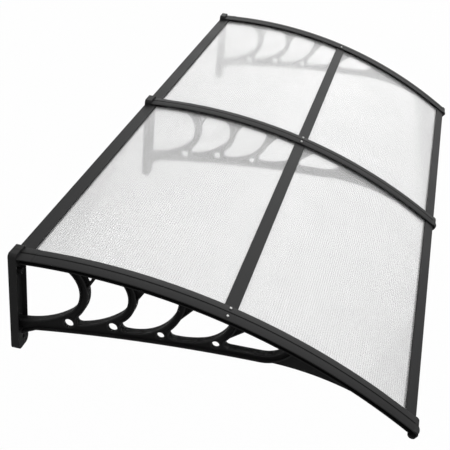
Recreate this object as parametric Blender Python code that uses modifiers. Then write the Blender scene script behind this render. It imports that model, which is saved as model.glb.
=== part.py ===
"""Polycarbonate door canopy: twin-wall sheets in metal bars on moulded wall brackets.

Metres, +Z up. The wall is the plane Y = 0 and the canopy reaches out along -Y, so a
place in the side view is written (u, z), with u the distance from the wall. X runs along
the wall. The origin is on the back face of the middle wall plate, at half its height.
"""
import math

import bmesh
import bpy
from mathutils import Matrix

# Whole canopy
BAY_PITCH = 0.975
BAY_COUNT = 2
FIT = 0.0003

# Wall plate of a bracket
PLATE_HEIGHT = 0.265
PLATE_WIDTH = 0.053
PLATE_THICKNESS = 0.0177
PLATE_TOP_CORNER = 0.009
PLATE_FOOT_CORNER = 0.015
RECESS_DEPTH = 0.010
RECESS_RIM = 0.003
RECESS_CORNER = 0.006
RECESS_HEIGHT = 0.180
FOOT_HEIGHT = 0.055
WALL_SCREW_HOLE = 0.010
TOP_HOLE_BELOW_TOP = 0.055
FOOT_HOLE_ABOVE_END = 0.027
HOLE_BOSS_DIAMETER = 0.016
HOLE_BOSS_PROUD = 0.005

# Curved arm of a bracket, whose depths are taken square to its top surface
ARC_RADIUS = 1.515
CROWN_BELOW_PLATE_TOP = 0.0035
CROWN_FROM_WALL = 0.1282
NOSE_FROM_WALL = 0.9442
ARM_WIDTH = 0.052
ARM_TOP_FLANGE = 0.0045
ARM_EDGE_ROUND = 0.0025
ARM_SLOT_HEIGHT = 0.0145
ARM_LOWER_FLANGE = 0.003
ARM_LOWER_WIDTH = 0.023
WEB_THICKNESS = 0.005
WEB_ROOT_SHARE = 0.75
GROOVE_WIDTH = 0.0016
GROOVE_DEPTH = 0.0008
PAD_LENGTH = 0.055
PAD_EXTRA = 0.0015

# Rounded end of the arm
NOSE_LIP_LENGTH = 0.017
NOSE_BULGE_WIDTH = 0.040
NOSE_BULGE_LENGTH = 0.0183
NOSE_CORNER = 0.005

# Frame under the arm
FRAME_FLANGE = 0.0032
LINING_WIDTH = 0.021
CHORD_WIDTH = 0.022
CHORD_RADIUS = 3.9
CHORD_APEX_FROM_WALL = 0.643
CHORD_APEX_ABOVE_FOOT = 0.1058
CHORD_ARC_START = 0.056
CHORD_ARC_END = 0.585
CHORD_RAMP_SLOPE = 0.5
GUSSET_APEX_FROM_WALL = 0.600
GUSSET_RADIUS = 0.620
GUSSET_APEX_BELOW_CHORD = 0.0015
ARM_SOFFIT = 0.0017

# Openings of the frame, from the wall outwards: ring centre from the wall, its drop below
# the arm, ring radius, thickness of the crescent outside the ring, direction in degrees
# in which the ring runs into its tail, and the tail's radius
RINGS = (
    (0.0920, 0.0566, 0.0703, 0.0175, -50.5, 0.212),
    (0.2152, 0.0426, 0.0613, 0.0165, -47.2, 0.206),
    (0.2778, 0.0083, 0.1148, 0.0150, -73.3, 0.1415),
    (0.4201, -0.0046, 0.0945, 0.0160, -71.7, 0.205),
)
END_RING_FROM_WALL = 0.583
END_RING_RADIUS = 0.0715
END_CRESCENT = 0.0192
END_RING_TAIL = (-88.3, 5.0)
FORK_SPREAD = 0.018
FORK_DROP = 0.036
CORNER_BLEND = 0.018
CORNER_RUN = 0.009
TOP_BLEND = 0.008
WALL_BLEND = 0.004

# Round lightening holes in the frame: distance from the wall, rise above the chord's
# edge, radius
WEB_HOLES = (
    (0.132, 0.0220, 0.01125),
    (0.239, 0.0242, 0.01125),
    (0.352, 0.0194, 0.0090),
    (0.480, 0.0196, 0.0090),
)
WEB_HOLE_RING = 0.005
WEB_HOLE_RING_PROUD = 0.0015
CORNER_FROM_HOLE = 0.0145

# Bars between the brackets, with widths measured along the slope
REAR_RAIL_WIDTH = 0.040
REAR_RAIL_FROM_WALL = 0.0203
FRONT_RAIL_WIDTH = 0.0325
FRONT_RAIL_BEYOND_END_CENTRE = 0.0012
CENTRE_BAR_WIDTH = 0.0325
CENTRE_BAR_FROM_WALL = 0.5010
BAR_GROOVE_DEPTH = 0.012
BAR_WALL = 0.0015

# Twin-wall sheets
SHEET_THICKNESS = 0.005
SHEET_SKIN = 0.0004
SHEET_RIB = 0.0004
SHEET_PITCH = 0.0057
SHEET_IN_GROOVE = 0.010
SHEET_SIDE_GAP = 0.001

# Screws from the arm's flange into the centre bar
SCREW_SPACING = 0.0306
SCREW_HEAD_DIAMETER = 0.0066
SCREW_HEAD_HEIGHT = 0.0026
SCREW_SHANK_DIAMETER = 0.0034
SCREW_LENGTH = 0.0120
SCREW_SLOT_WIDTH = 0.0009
SCREW_SLOT_DEPTH = 0.0010

# Fineness of the curves
ARM_STEPS = 18
RING_STEPS = 5
TAIL_STEPS = 2
LEFT_STEPS = 4
TOP_STEPS = 3
CORNER_STEPS = 3
CHORD_STEPS = 6
GUSSET_STEPS = 5
NOSE_STEPS = 6
BLEND_STEPS = 3
HOLE_STEPS = 12
SHEET_FACE_STEPS = 16
PAD_STEPS = 2
SCREW_DOME_STEPS = 3
WELD_DISTANCE = 0.000004
FLAT_ANGLE = math.radians(0.1)
SHARP_ANGLE = math.radians(35)

# Values that follow from the ones above
ARM_DEPTH = ARM_TOP_FLANGE + ARM_SLOT_HEIGHT + ARM_LOWER_FLANGE
SLOT_MIDDLE = ARM_TOP_FLANGE + ARM_SLOT_HEIGHT / 2
ROOT_DEPTH = ARM_DEPTH - WEB_ROOT_SHARE * ARM_LOWER_FLANGE
PLATE_TOP_Z = PLATE_HEIGHT / 2
PLATE_FOOT_Z = -PLATE_HEIGHT / 2
ARC_CENTRE_Z = PLATE_TOP_Z - CROWN_BELOW_PLATE_TOP - ARC_RADIUS
CHORD_APEX_Z = PLATE_FOOT_Z + CHORD_APEX_ABOVE_FOOT
RECESS_FLOOR = PLATE_THICKNESS - RECESS_DEPTH
BRACKET_PLACES = [(i - BAY_COUNT / 2) * BAY_PITCH for i in range(BAY_COUNT + 1)]
BAY_PLACES = [(i + 0.5 - BAY_COUNT / 2) * BAY_PITCH for i in range(BAY_COUNT)]

# Outlines drawn as (u, z) stand in the side view, and outlines drawn as (x, z) in the front
SIDE_VIEW = Matrix(((0, 0, -1, 0), (-1, 0, 0, 0), (0, 1, 0, 0), (0, 0, 0, 1)))
FRONT_VIEW = Matrix.Rotation(math.radians(90), 4, "X")

COLOURS = {
    "bracket_plastic": ((0.030, 0.030, 0.031), 0.55, 0.0),
    "bar_aluminium": ((0.045, 0.045, 0.047), 0.45, 0.6),
    "sheet_polycarbonate": ((0.80, 0.82, 0.83), 0.30, 0.0),
    "screw_steel": ((0.62, 0.62, 0.60), 0.35, 1.0),
}


def clear_scene():
    """Remove whatever the file holds, and make the two collections."""
    for obj in list(bpy.data.objects):
        bpy.data.objects.remove(obj, do_unlink=True)
    for name in ("door_canopy", "cutters"):
        collection = bpy.data.collections.new(name)
        bpy.context.scene.collection.children.link(collection)


def material(name):
    """Principled material of one of the named finishes, made on first use."""
    if name in bpy.data.materials:
        return bpy.data.materials[name]
    colour, roughness, metallic = COLOURS[name]
    result = bpy.data.materials.new(name)
    result.use_nodes = True
    shader = result.node_tree.nodes["Principled BSDF"]
    shader.inputs["Base Color"].default_value = (*colour, 1.0)
    shader.inputs["Roughness"].default_value = roughness
    shader.inputs["Metallic"].default_value = metallic
    result.diffuse_color = (*colour, 1.0)
    return result


def add_object(name, mesh, collection="door_canopy", finish=None):
    """Object on a mesh, in one of the two collections, with its finish."""
    obj = bpy.data.objects.new(name, mesh)
    bpy.data.collections[collection].objects.link(obj)
    if collection == "cutters":
        obj.hide_render = True
        obj.display_type = "WIRE"
    if finish and not mesh.materials:
        mesh.materials.append(material(finish))
    return obj


def arm_angle(u, depth):
    """Angle from the vertical at which the arm's curve is u from the wall."""
    return math.asin((u - CROWN_FROM_WALL) / (ARC_RADIUS - depth))


def arm_point(angle, depth, along=0.0):
    """Place in the side view at an angle and depth of the arm, moved along its tangent."""
    u = CROWN_FROM_WALL + (ARC_RADIUS - depth) * math.sin(angle) + along * math.cos(angle)
    z = ARC_CENTRE_Z + (ARC_RADIUS - depth) * math.cos(angle) - along * math.sin(angle)
    return u, z


def arm_z(u, depth):
    """Height of the arm's curve at a distance from the wall and a depth below its top."""
    return arm_point(arm_angle(u, depth), depth)[1]


def chord_z(u):
    """Height of the lower edge of the frame's chord."""
    drop = CHORD_RADIUS - math.sqrt(CHORD_RADIUS ** 2 - (u - CHORD_APEX_FROM_WALL) ** 2)
    return CHORD_APEX_Z - drop


def arc(centre, radius, start, end, steps):
    """Points of a circular arc between two angles in radians."""
    angles = [start + (end - start) * i / steps for i in range(steps + 1)]
    return [(centre[0] + radius * math.cos(a), centre[1] + radius * math.sin(a)) for a in angles]


def circle(centre, radius, steps):
    """Closed outline of a circle."""
    return arc(centre, radius, 0.0, 2 * math.pi, steps)[:-1]


def rounded_box(x_range, z_range, lower_radius, upper_radius):
    """Outline of an upright rectangle with its lower and its upper corners rounded."""
    (x0, x1), (z0, z1) = x_range, z_range
    corners = (
        (x1 - lower_radius, z0 + lower_radius, lower_radius, -90),
        (x1 - upper_radius, z1 - upper_radius, upper_radius, 0),
        (x0 + upper_radius, z1 - upper_radius, upper_radius, 90),
        (x0 + lower_radius, z0 + lower_radius, lower_radius, 180),
    )
    outline = []
    for x, z, radius, start in corners:
        outline += arc((x, z), radius, math.radians(start), math.radians(start + 90), CORNER_STEPS)
    return outline


def cut_back(path, reach):
    """Path with a length taken off its end."""
    path = list(path)
    while len(path) > 1:
        (u0, z0), (u1, z1) = path[-2], path[-1]
        length = math.dist(path[-2], path[-1])
        if length > reach:
            share = reach / length
            path[-1] = (u1 + (u0 - u1) * share, z1 + (z0 - z1) * share)
            return path
        reach -= length
        path.pop()
    return path


def blended(sides, reaches):
    """Closed outline of joined sides, each corner after a side blended over its reach."""
    trimmed = []
    for i, side in enumerate(sides):
        path = cut_back(side, reaches[i])
        path = cut_back(path[::-1], reaches[i - 1])[::-1]
        trimmed.append(path)
    outline = []
    for i, side in enumerate(trimmed):
        following = trimmed[(i + 1) % len(trimmed)][0]
        corner = sides[i][-1]
        outline += side
        for k in range(1, BLEND_STEPS):
            t = k / BLEND_STEPS
            outline.append(tuple(
                (1 - t) ** 2 * a + 2 * t * (1 - t) * b + t ** 2 * c
                for a, b, c in zip(side[-1], corner, following)
            ))
    return outline


def offset(path, distance, closed=True):
    """Path moved to its right by a distance, each point along its own bisector."""
    moved = []
    last = len(path) - 1
    for i, point in enumerate(path):
        before = path[i - 1] if closed or i > 0 else point
        after = path[(i + 1) % len(path)] if closed or i < last else point
        normals = []
        for start, end in ((before, point), (point, after)):
            length = math.dist(start, end)
            if length > 0:
                normals.append(((end[1] - start[1]) / length, (start[0] - end[0]) / length))
        nu = sum(n[0] for n in normals)
        nz = sum(n[1] for n in normals)
        scale = len(normals) * distance / (nu * nu + nz * nz)
        moved.append((point[0] + nu * scale, point[1] + nz * scale))
    return moved


def shade_round(mesh):
    """Smooth shading over the fine steps of curves, with the real edges left sharp."""
    mesh.shade_smooth()
    mesh.set_sharp_from_angle(angle=SHARP_ANGLE)


def solid_from_outlines(name, outlines, thickness, placement):
    """Mesh of a flat outline with its holes, with a thickness centred on its plane."""
    curve = bpy.data.curves.new(name, "CURVE")
    curve.dimensions = "2D"
    curve.fill_mode = "BOTH"
    curve.extrude = thickness / 2
    for outline in outlines:
        spline = curve.splines.new("POLY")
        spline.points.add(len(outline) - 1)
        for point, (across, up) in zip(spline.points, outline):
            point.co = (across, up, 0.0, 1.0)
        spline.use_cyclic_u = True
    guide = add_object(name, curve, "cutters")
    bpy.context.view_layer.update()
    graph = bpy.context.evaluated_depsgraph_get()
    mesh = bpy.data.meshes.new_from_object(guide.evaluated_get(graph))
    bpy.data.objects.remove(guide, do_unlink=True)
    bm = bmesh.new()
    bm.from_mesh(mesh)
    bmesh.ops.remove_doubles(bm, verts=bm.verts, dist=WELD_DISTANCE)
    bmesh.ops.transform(bm, matrix=placement, verts=bm.verts)
    bmesh.ops.recalc_face_normals(bm, faces=bm.faces)
    bm.to_mesh(mesh)
    bm.free()
    mesh.name = name
    shade_round(mesh)
    return mesh


def piece_in_view(name, outlines, thickness, view=SIDE_VIEW, shift=(0.0, 0.0, 0.0)):
    """Working solid of a flat outline, for joining or cutting."""
    mesh = solid_from_outlines(name, outlines, thickness, Matrix.Translation(shift) @ view)
    return add_object(name, mesh, "cutters")


def upright_cylinder(name, x, z, radius, u_range):
    """Working cylinder square to the wall, between two distances from it."""
    shift = (x, -sum(u_range) / 2, 0.0)
    outline = circle((0.0, z), radius, HOLE_STEPS)
    return piece_in_view(name, [outline], u_range[1] - u_range[0], FRONT_VIEW, shift)


def join_and_cut(base, joined, cut):
    """Mesh of a base with some solids joined to it and others cut out of it.

    The manifold solver is used because the thin linings cross the web at shallow angles,
    where the exact one leaves slivers open.
    """
    for operation, pieces in (("UNION", joined), ("DIFFERENCE", cut)):
        for piece in pieces:
            modifier = base.modifiers.new(piece.name, "BOOLEAN")
            modifier.operation = operation
            modifier.solver = "MANIFOLD"
            modifier.object = piece
    bpy.context.view_layer.update()
    graph = bpy.context.evaluated_depsgraph_get()
    mesh = bpy.data.meshes.new_from_object(base.evaluated_get(graph))
    for piece in [base] + list(joined) + list(cut):
        bpy.data.objects.remove(piece, do_unlink=True)
    bm = bmesh.new()
    bm.from_mesh(mesh)
    bmesh.ops.dissolve_limit(bm, angle_limit=FLAT_ANGLE, verts=bm.verts, edges=bm.edges)
    bmesh.ops.triangulate(bm, faces=bm.faces)
    bm.to_mesh(mesh)
    bm.free()
    shade_round(mesh)
    return mesh


def swept_along_arm(name, section, start, end, steps):
    """Working solid of a section (x, depth) spun about the arm's centre of curvature."""
    bm = bmesh.new()
    ring = []
    for x, depth in section:
        u, z = arm_point(start, depth)
        ring.append(bm.verts.new((x, -u, z)))
    face = bm.faces.new(ring)
    centre = (0.0, -CROWN_FROM_WALL, ARC_CENTRE_Z)
    bmesh.ops.spin(
        bm, geom=[face, *face.edges, *ring], cent=centre, axis=(1.0, 0.0, 0.0),
        angle=end - start, steps=steps, use_duplicate=False,
    )
    bmesh.ops.recalc_face_normals(bm, faces=bm.faces)
    mesh = bpy.data.meshes.new(name)
    bm.to_mesh(mesh)
    bm.free()
    return add_object(name, mesh, "cutters")


def arm_section():
    """Section of the arm: wide top flange, web, narrow lower flange."""
    half = ARM_WIDTH / 2
    slot_floor = ARM_TOP_FLANGE + ARM_SLOT_HEIGHT
    right = [(GROOVE_WIDTH / 2, GROOVE_DEPTH), (GROOVE_WIDTH / 2, 0.0)]
    corner = (half - ARM_EDGE_ROUND, ARM_EDGE_ROUND)
    right += arc(corner, ARM_EDGE_ROUND, -math.pi / 2, 0.0, CORNER_STEPS)
    right += [
        (half, ARM_TOP_FLANGE),
        (WEB_THICKNESS / 2, ARM_TOP_FLANGE),
        (WEB_THICKNESS / 2, slot_floor),
        (ARM_LOWER_WIDTH / 2, slot_floor),
        (ARM_LOWER_WIDTH / 2, ARM_DEPTH),
    ]
    return right + [(-x, depth) for x, depth in reversed(right)]


def ring_tail(centre, radius, direction, tail_radius):
    """Centre of the tail's circle, which touches the ring from outside it."""
    a = math.radians(direction)
    reach = tail_radius - radius
    return centre[0] - reach * math.cos(a), centre[1] - reach * math.sin(a)


def ring_list():
    """Every opening's ring: centre, radius, crescent, direction of the tail, tail radius."""
    rings = []
    for u, drop, radius, crescent, direction, tail in RINGS:
        rings.append(((u, arm_z(u, ARM_DEPTH) - drop), radius, crescent, direction, tail))
    outer = END_RING_RADIUS + END_CRESCENT
    centre = (END_RING_FROM_WALL, chord_z(CHORD_ARC_END) + outer)
    rings.append((centre, END_RING_RADIUS, END_CRESCENT, *END_RING_TAIL))
    return rings


def angle_where_arm_is_met(centre, radius, depth, side=1):
    """Angle at which a circle crosses the arm's curve, to one side of the line of centres."""
    away_u = CROWN_FROM_WALL - centre[0]
    away_z = ARC_CENTRE_Z - centre[1]
    distance = math.hypot(away_u, away_z)
    squares = radius ** 2 + distance ** 2 - (ARC_RADIUS - depth) ** 2
    cosine = squares / (2 * radius * distance)
    angle = math.atan2(away_z, away_u) + side * math.acos(max(-1.0, min(1.0, cosine)))
    return angle + 2 * math.pi if angle < -math.pi else angle


def opening_outlines():
    """Outline of each opening of the frame, anticlockwise from its lower left corner."""
    rings = ring_list()
    top_depth = ARM_DEPTH + ARM_SOFFIT
    outlines = []
    for i, (centre, radius, _, direction, tail) in enumerate(rings):
        tail_centre = ring_tail(centre, radius, direction, tail)
        if i == 0:
            corner_u = RECESS_FLOOR - 2 * FIT
        else:
            corner_u = WEB_HOLES[i - 1][0] + CORNER_FROM_HOLE
        tail_start = -math.acos((corner_u - tail_centre[0]) / tail)
        turn = math.radians(direction)
        bottom = arc(tail_centre, tail, tail_start, turn, TAIL_STEPS)
        top_angle = angle_where_arm_is_met(centre, radius, top_depth)
        right = arc(centre, radius, turn, top_angle, RING_STEPS)
        bottom_and_right = bottom + right[1:]
        corner = bottom[0]
        top_right = right[-1]
        if i == 0:
            top_left = (corner_u, arm_z(corner_u, top_depth))
            left = [top_left, corner]
        else:
            before, before_radius, crescent = rings[i - 1][:3]
            outer = before_radius + crescent
            foot = angle_where_arm_is_met(before, outer, top_depth + FORK_DROP)
            top_left_u = before[0] + outer * math.cos(foot) + FORK_SPREAD
            top_left = (top_left_u, arm_z(top_left_u, top_depth))
            low = -math.acos((corner_u + CORNER_RUN - before[0]) / outer)
            left = [top_left] + arc(before, outer, foot, low, LEFT_STEPS) + [corner]
        start = arm_angle(top_right[0], top_depth)
        end = arm_angle(top_left[0], top_depth)
        step = (end - start) / TOP_STEPS
        top = [arm_point(start + step * k, top_depth) for k in range(TOP_STEPS + 1)]
        blends = [TOP_BLEND, TOP_BLEND, WALL_BLEND if i == 0 else CORNER_BLEND]
        outlines.append(blended([bottom_and_right, top, left], blends))
    return outlines


def chord_path():
    """Lower edge of the chord, from inside the wall plate to the start of its upturn."""
    inside = RECESS_FLOOR / 2
    start = (CHORD_ARC_START, chord_z(CHORD_ARC_START))
    path = [(inside, start[1] - (start[0] - inside) * CHORD_RAMP_SLOPE)]
    for k in range(CHORD_STEPS + 1):
        u = CHORD_ARC_START + (CHORD_ARC_END - CHORD_ARC_START) * k / CHORD_STEPS
        path.append((u, chord_z(u)))
    return path


def chord_upturn():
    """Lower edge of the chord where it turns up round the last opening into the arm."""
    centre, radius, crescent = ring_list()[-1][:3]
    outer = radius + crescent
    low = -math.acos((CHORD_ARC_END - centre[0]) / outer)
    high = angle_where_arm_is_met(centre, outer, ROOT_DEPTH)
    return arc(centre, outer, low, high, RING_STEPS)[1:]


def gusset_path():
    """Lower edge of the thin web that runs on along the arm's underside."""
    top = CHORD_APEX_Z - GUSSET_APEX_BELOW_CHORD
    centre = (GUSSET_APEX_FROM_WALL, top - GUSSET_RADIUS)
    end = angle_where_arm_is_met(centre, GUSSET_RADIUS, ROOT_DEPTH, side=-1)
    return arc(centre, GUSSET_RADIUS, math.pi / 2, end, GUSSET_STEPS)


def frame_pieces():
    """Working solids of the frame: web, chord flange, linings and hole rings."""
    half_flange = FRAME_FLANGE / 2
    lower = offset(chord_path(), -half_flange, closed=False) + gusset_path()
    last_angle = arm_angle(lower[-1][0], ROOT_DEPTH)
    first_angle = arm_angle(lower[0][0], ROOT_DEPTH)
    upper = []
    for k in range(1, ARM_STEPS + 1):
        angle = last_angle + (first_angle - last_angle) * k / ARM_STEPS
        upper.append(arm_point(angle, ROOT_DEPTH))
    openings = opening_outlines()
    web_holes = [offset(outline, half_flange) for outline in openings]
    pieces = [piece_in_view("web", [lower + upper] + web_holes, WEB_THICKNESS)]
    path = chord_path() + chord_upturn()
    flange = path + offset(path, -FRAME_FLANGE, closed=False)[::-1]
    pieces.append(piece_in_view("chord_flange", [flange], CHORD_WIDTH))
    for i, outline in enumerate(openings):
        ring = [offset(outline, FRAME_FLANGE), outline]
        pieces.append(piece_in_view("lining_%d" % (i + 1), ring, LINING_WIDTH))
    for i, (u, rise, radius) in enumerate(WEB_HOLES):
        outline = circle((u, chord_z(u) + rise), radius + WEB_HOLE_RING, HOLE_STEPS)
        width = WEB_THICKNESS + 2 * WEB_HOLE_RING_PROUD
        pieces.append(piece_in_view("hole_ring_%d" % (i + 1), [outline], width))
    return pieces


def nose_mesh(end):
    """Rounded end of the arm, still without its slots, with a bulge in front."""
    lip = NOSE_LIP_LENGTH
    outer = ARM_DEPTH / 2 - FIT
    top = ARM_EDGE_ROUND + FIT
    centre = arm_point(end, ARM_DEPTH / 2)
    outline = [arm_point(end, ARM_DEPTH - FIT, -lip)]
    outline += arc(centre, outer, -math.pi / 2 - end, math.pi / 2 - end, NOSE_STEPS)
    outline.append(arm_point(end, top, -2 * FIT))
    outline.append(arm_point(end, top, -lip))
    base = piece_in_view("nose", [outline], ARM_WIDTH)
    place = Matrix.Translation((0.0, -centre[0], centre[1])) @ Matrix.Rotation(end, 4, "X")
    half = ARM_WIDTH / 2 - FIT
    plan = rounded_box((-half, half), (-2 * lip, outer + FIT), FIT, NOSE_CORNER)
    flat = place @ Matrix.Rotation(math.pi, 4, "X")
    trim = solid_from_outlines("nose_trim", [plan], 2 * ARM_DEPTH, flat)
    rounding = base.modifiers.new("rounding", "BOOLEAN")
    rounding.operation = "INTERSECT"
    rounding.solver = "MANIFOLD"
    rounding.object = add_object("nose_trim", trim, "cutters")
    bm = bmesh.new()
    bmesh.ops.create_uvsphere(bm, u_segments=2 * NOSE_STEPS, v_segments=NOSE_STEPS, radius=1.0)
    reach = Matrix.Diagonal((NOSE_BULGE_WIDTH / 2, NOSE_BULGE_LENGTH, outer - FIT, 1.0))
    bmesh.ops.transform(bm, matrix=place @ reach, verts=bm.verts)
    mesh = bpy.data.meshes.new("nose_bulge")
    bm.to_mesh(mesh)
    bm.free()
    return join_and_cut(base, [add_object("nose_bulge", mesh, "cutters")], [])


def nose_slots(end):
    """Working solids of the two slots where they end in the nose."""
    height = ARM_SLOT_HEIGHT / 2 + FIT
    back = -NOSE_LIP_LENGTH - ARM_DEPTH
    outline = [
        arm_point(end, SLOT_MIDDLE - height, back),
        arm_point(end, SLOT_MIDDLE + height, back),
    ]
    centre = arm_point(end, SLOT_MIDDLE)
    outline += arc(centre, height, -math.pi / 2 - end, math.pi / 2 - end, NOSE_STEPS)
    slots = []
    for side in (-1, 1):
        shift = (side * (ARM_WIDTH + WEB_THICKNESS / 2 - FIT), 0.0, 0.0)
        slots.append(piece_in_view("nose_slot", [outline], 2 * ARM_WIDTH, SIDE_VIEW, shift))
    return slots


def bracket_mesh():
    """One moulded bracket, with the middle of its back face at the origin."""
    half_width = PLATE_WIDTH / 2
    outline = rounded_box(
        (-half_width, half_width), (PLATE_FOOT_Z, PLATE_TOP_Z), PLATE_FOOT_CORNER, PLATE_TOP_CORNER
    )
    shift = (0.0, -PLATE_THICKNESS / 2, 0.0)
    plate = piece_in_view("plate", [outline], PLATE_THICKNESS, FRONT_VIEW, shift)
    recess_bottom = PLATE_FOOT_Z + FOOT_HEIGHT
    recess = piece_in_view("recess", [rounded_box(
        (RECESS_RIM - half_width, half_width - RECESS_RIM),
        (recess_bottom, recess_bottom + RECESS_HEIGHT), RECESS_CORNER, RECESS_CORNER,
    )], 2 * RECESS_DEPTH, FRONT_VIEW, (0.0, -PLATE_THICKNESS, 0.0))
    base = add_object("base", join_and_cut(plate, [], [recess]), "cutters")
    end = arm_angle(NOSE_FROM_WALL, SLOT_MIDDLE)
    start = arm_angle(PLATE_THICKNESS / 2, 0.0)
    joined = [swept_along_arm("arm", arm_section(), start, end, ARM_STEPS)]
    pad_half = ARM_WIDTH / 2 + PAD_EXTRA
    pad_end = arm_angle(PAD_LENGTH, 0.0)
    pad = [(-pad_half, -PAD_EXTRA), (pad_half, -PAD_EXTRA)]
    pad += [(pad_half, ARM_TOP_FLANGE / 2), (-pad_half, ARM_TOP_FLANGE / 2)]
    pad_start = arm_angle(PLATE_THICKNESS - 2 * FIT, 0.0)
    joined.append(swept_along_arm("pad", pad, pad_start, pad_end, PAD_STEPS))
    joined.append(add_object("nose", nose_mesh(end), "cutters"))
    joined += frame_pieces()
    top_hole_z = PLATE_TOP_Z - TOP_HOLE_BELOW_TOP
    foot_hole_z = PLATE_FOOT_Z + FOOT_HOLE_ABOVE_END
    boss_range = (RECESS_FLOOR / 2, PLATE_THICKNESS + HOLE_BOSS_PROUD)
    boss_radius = HOLE_BOSS_DIAMETER / 2
    joined.append(upright_cylinder("hole_boss", 0.0, top_hole_z, boss_radius, boss_range))
    through = (-HOLE_BOSS_PROUD, PLATE_THICKNESS + 2 * HOLE_BOSS_PROUD)
    cut = nose_slots(end)
    for name, z in (("top_hole", top_hole_z), ("foot_hole", foot_hole_z)):
        cut.append(upright_cylinder(name, 0.0, z, WALL_SCREW_HOLE / 2, through))
    for i, (u, rise, radius) in enumerate(WEB_HOLES):
        outline = circle((u, chord_z(u) + rise), radius, HOLE_STEPS)
        cut.append(piece_in_view("web_hole_%d" % (i + 1), [outline], 2 * CHORD_WIDTH))
    for side in (-1, 1):
        cut.append(screw_hole(side * SCREW_SPACING / 2, ARM_TOP_FLANGE + FIT))
    mesh = join_and_cut(base, joined, cut)
    mesh.name = "bracket"
    return mesh


def screw_matrix(x, depth):
    """Placement of a screw: its own +Z square to the arm, at a depth below its top."""
    angle = arm_angle(CENTRE_BAR_FROM_WALL, SLOT_MIDDLE)
    u, z = arm_point(angle, depth)
    return Matrix.Translation((x, -u, z)) @ Matrix.Rotation(angle, 4, "X")


def screw_hole(x, length):
    """Working cylinder for a screw's shank, from above the arm down to a length."""
    above = SCREW_HEAD_HEIGHT
    bm = bmesh.new()
    radius = SCREW_SHANK_DIAMETER / 2 + FIT
    bmesh.ops.create_cone(
        bm, cap_ends=True, segments=HOLE_STEPS, radius1=radius, radius2=radius,
        depth=length + above, matrix=screw_matrix(x, (length - above) / 2),
    )
    mesh = bpy.data.meshes.new("screw_hole")
    bm.to_mesh(mesh)
    bm.free()
    return add_object("screw_hole", mesh, "cutters")


def add_brackets():
    """The three like brackets, which share one mesh."""
    mesh = bracket_mesh()
    for i, x in enumerate(BRACKET_PLACES):
        bracket = add_object("bracket_%d" % (i + 1), mesh, finish="bracket_plastic")
        bracket.location.x = x


def bar_height():
    """Height of a bar that fits the arm's slot with its clearances."""
    return ARM_SLOT_HEIGHT - 2 * FIT


def slope_placement(angle, x):
    """Placement for outlines drawn (along the slope, up) about the slot's middle."""
    u, z = arm_point(angle, SLOT_MIDDLE)
    turn = Matrix.Translation((u, z, 0.0)) @ Matrix.Rotation(-angle, 4, "Z")
    return Matrix.Translation((x, 0.0, 0.0)) @ SIDE_VIEW @ turn


def bar_outlines(width, grooves):
    """Section of a bar: grooves for the sheets, and a hollow where there is room."""
    half = width / 2
    sag = half ** 2 / (2 * ARC_RADIUS)
    top = bar_height() / 2 - sag
    groove = SHEET_THICKNESS / 2 + FIT
    right = [(half, -top), (half, top)]
    if "front" in grooves:
        inner = half - BAR_GROOVE_DEPTH
        right = [(half, -top), (half, -groove), (inner, -groove)]
        right += [(inner, groove), (half, groove), (half, top)]
    left = [(-half, top), (-half, -top)]
    if "rear" in grooves:
        inner = BAR_GROOVE_DEPTH - half
        left = [(-half, top), (-half, groove), (inner, groove)]
        left += [(inner, -groove), (-half, -groove), (-half, -top)]
    outlines = [right + left]
    if grooves != ("rear", "front"):
        room = (BAR_WALL - half, half - BAR_GROOVE_DEPTH - BAR_WALL)
        if grooves == ("rear",):
            room = (BAR_GROOVE_DEPTH + BAR_WALL - half, half - BAR_WALL)
        high = top - BAR_WALL
        outlines.append([(room[0], -high), (room[1], -high), (room[1], high), (room[0], high)])
    return outlines


def bar_length():
    """Length of a bar that ends just short of the webs of its two brackets."""
    return BAY_PITCH - WEB_THICKNESS - 2 * FIT


def add_rear_rail(name, x):
    """Rear rail: it runs into the arms' slots, and its back part ends at the wall plates."""
    angle = arm_angle(REAR_RAIL_FROM_WALL, SLOT_MIDDLE)
    outlines = bar_outlines(REAR_RAIL_WIDTH, ("front",))
    mesh = solid_from_outlines(name, outlines, bar_length(), slope_placement(angle, x))
    base = add_object("rail_base", mesh, "cutters")
    notches = []
    depth = PLATE_THICKNESS + FIT
    notch_reach = PLATE_WIDTH / 2 + FIT
    for side in (-1, 1):
        notch = bmesh.new()
        size = Matrix.Diagonal((2 * notch_reach, 2 * depth, PLATE_HEIGHT, 1.0))
        place = Matrix.Translation((x + side * BAY_PITCH / 2, 0.0, 0.0))
        bmesh.ops.create_cube(notch, size=1.0, matrix=place @ size)
        notch_mesh = bpy.data.meshes.new("notch")
        notch.to_mesh(notch_mesh)
        notch.free()
        notches.append(add_object("notch", notch_mesh, "cutters"))
    add_object(name, join_and_cut(base, [], notches), finish="bar_aluminium")


def front_rail_angle():
    """Angle of the front rail, whose outer edge lies just past the slot's round end."""
    end = arm_angle(NOSE_FROM_WALL, SLOT_MIDDLE)
    back = FRONT_RAIL_WIDTH / 2 - FRONT_RAIL_BEYOND_END_CENTRE
    return end - back / (ARC_RADIUS - SLOT_MIDDLE)


def add_front_rail(name, x):
    """Front rail, grooved towards the sheet."""
    outlines = bar_outlines(FRONT_RAIL_WIDTH, ("rear",))
    placement = slope_placement(front_rail_angle(), x)
    mesh = solid_from_outlines(name, outlines, bar_length(), placement)
    add_object(name, mesh, finish="bar_aluminium")


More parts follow.
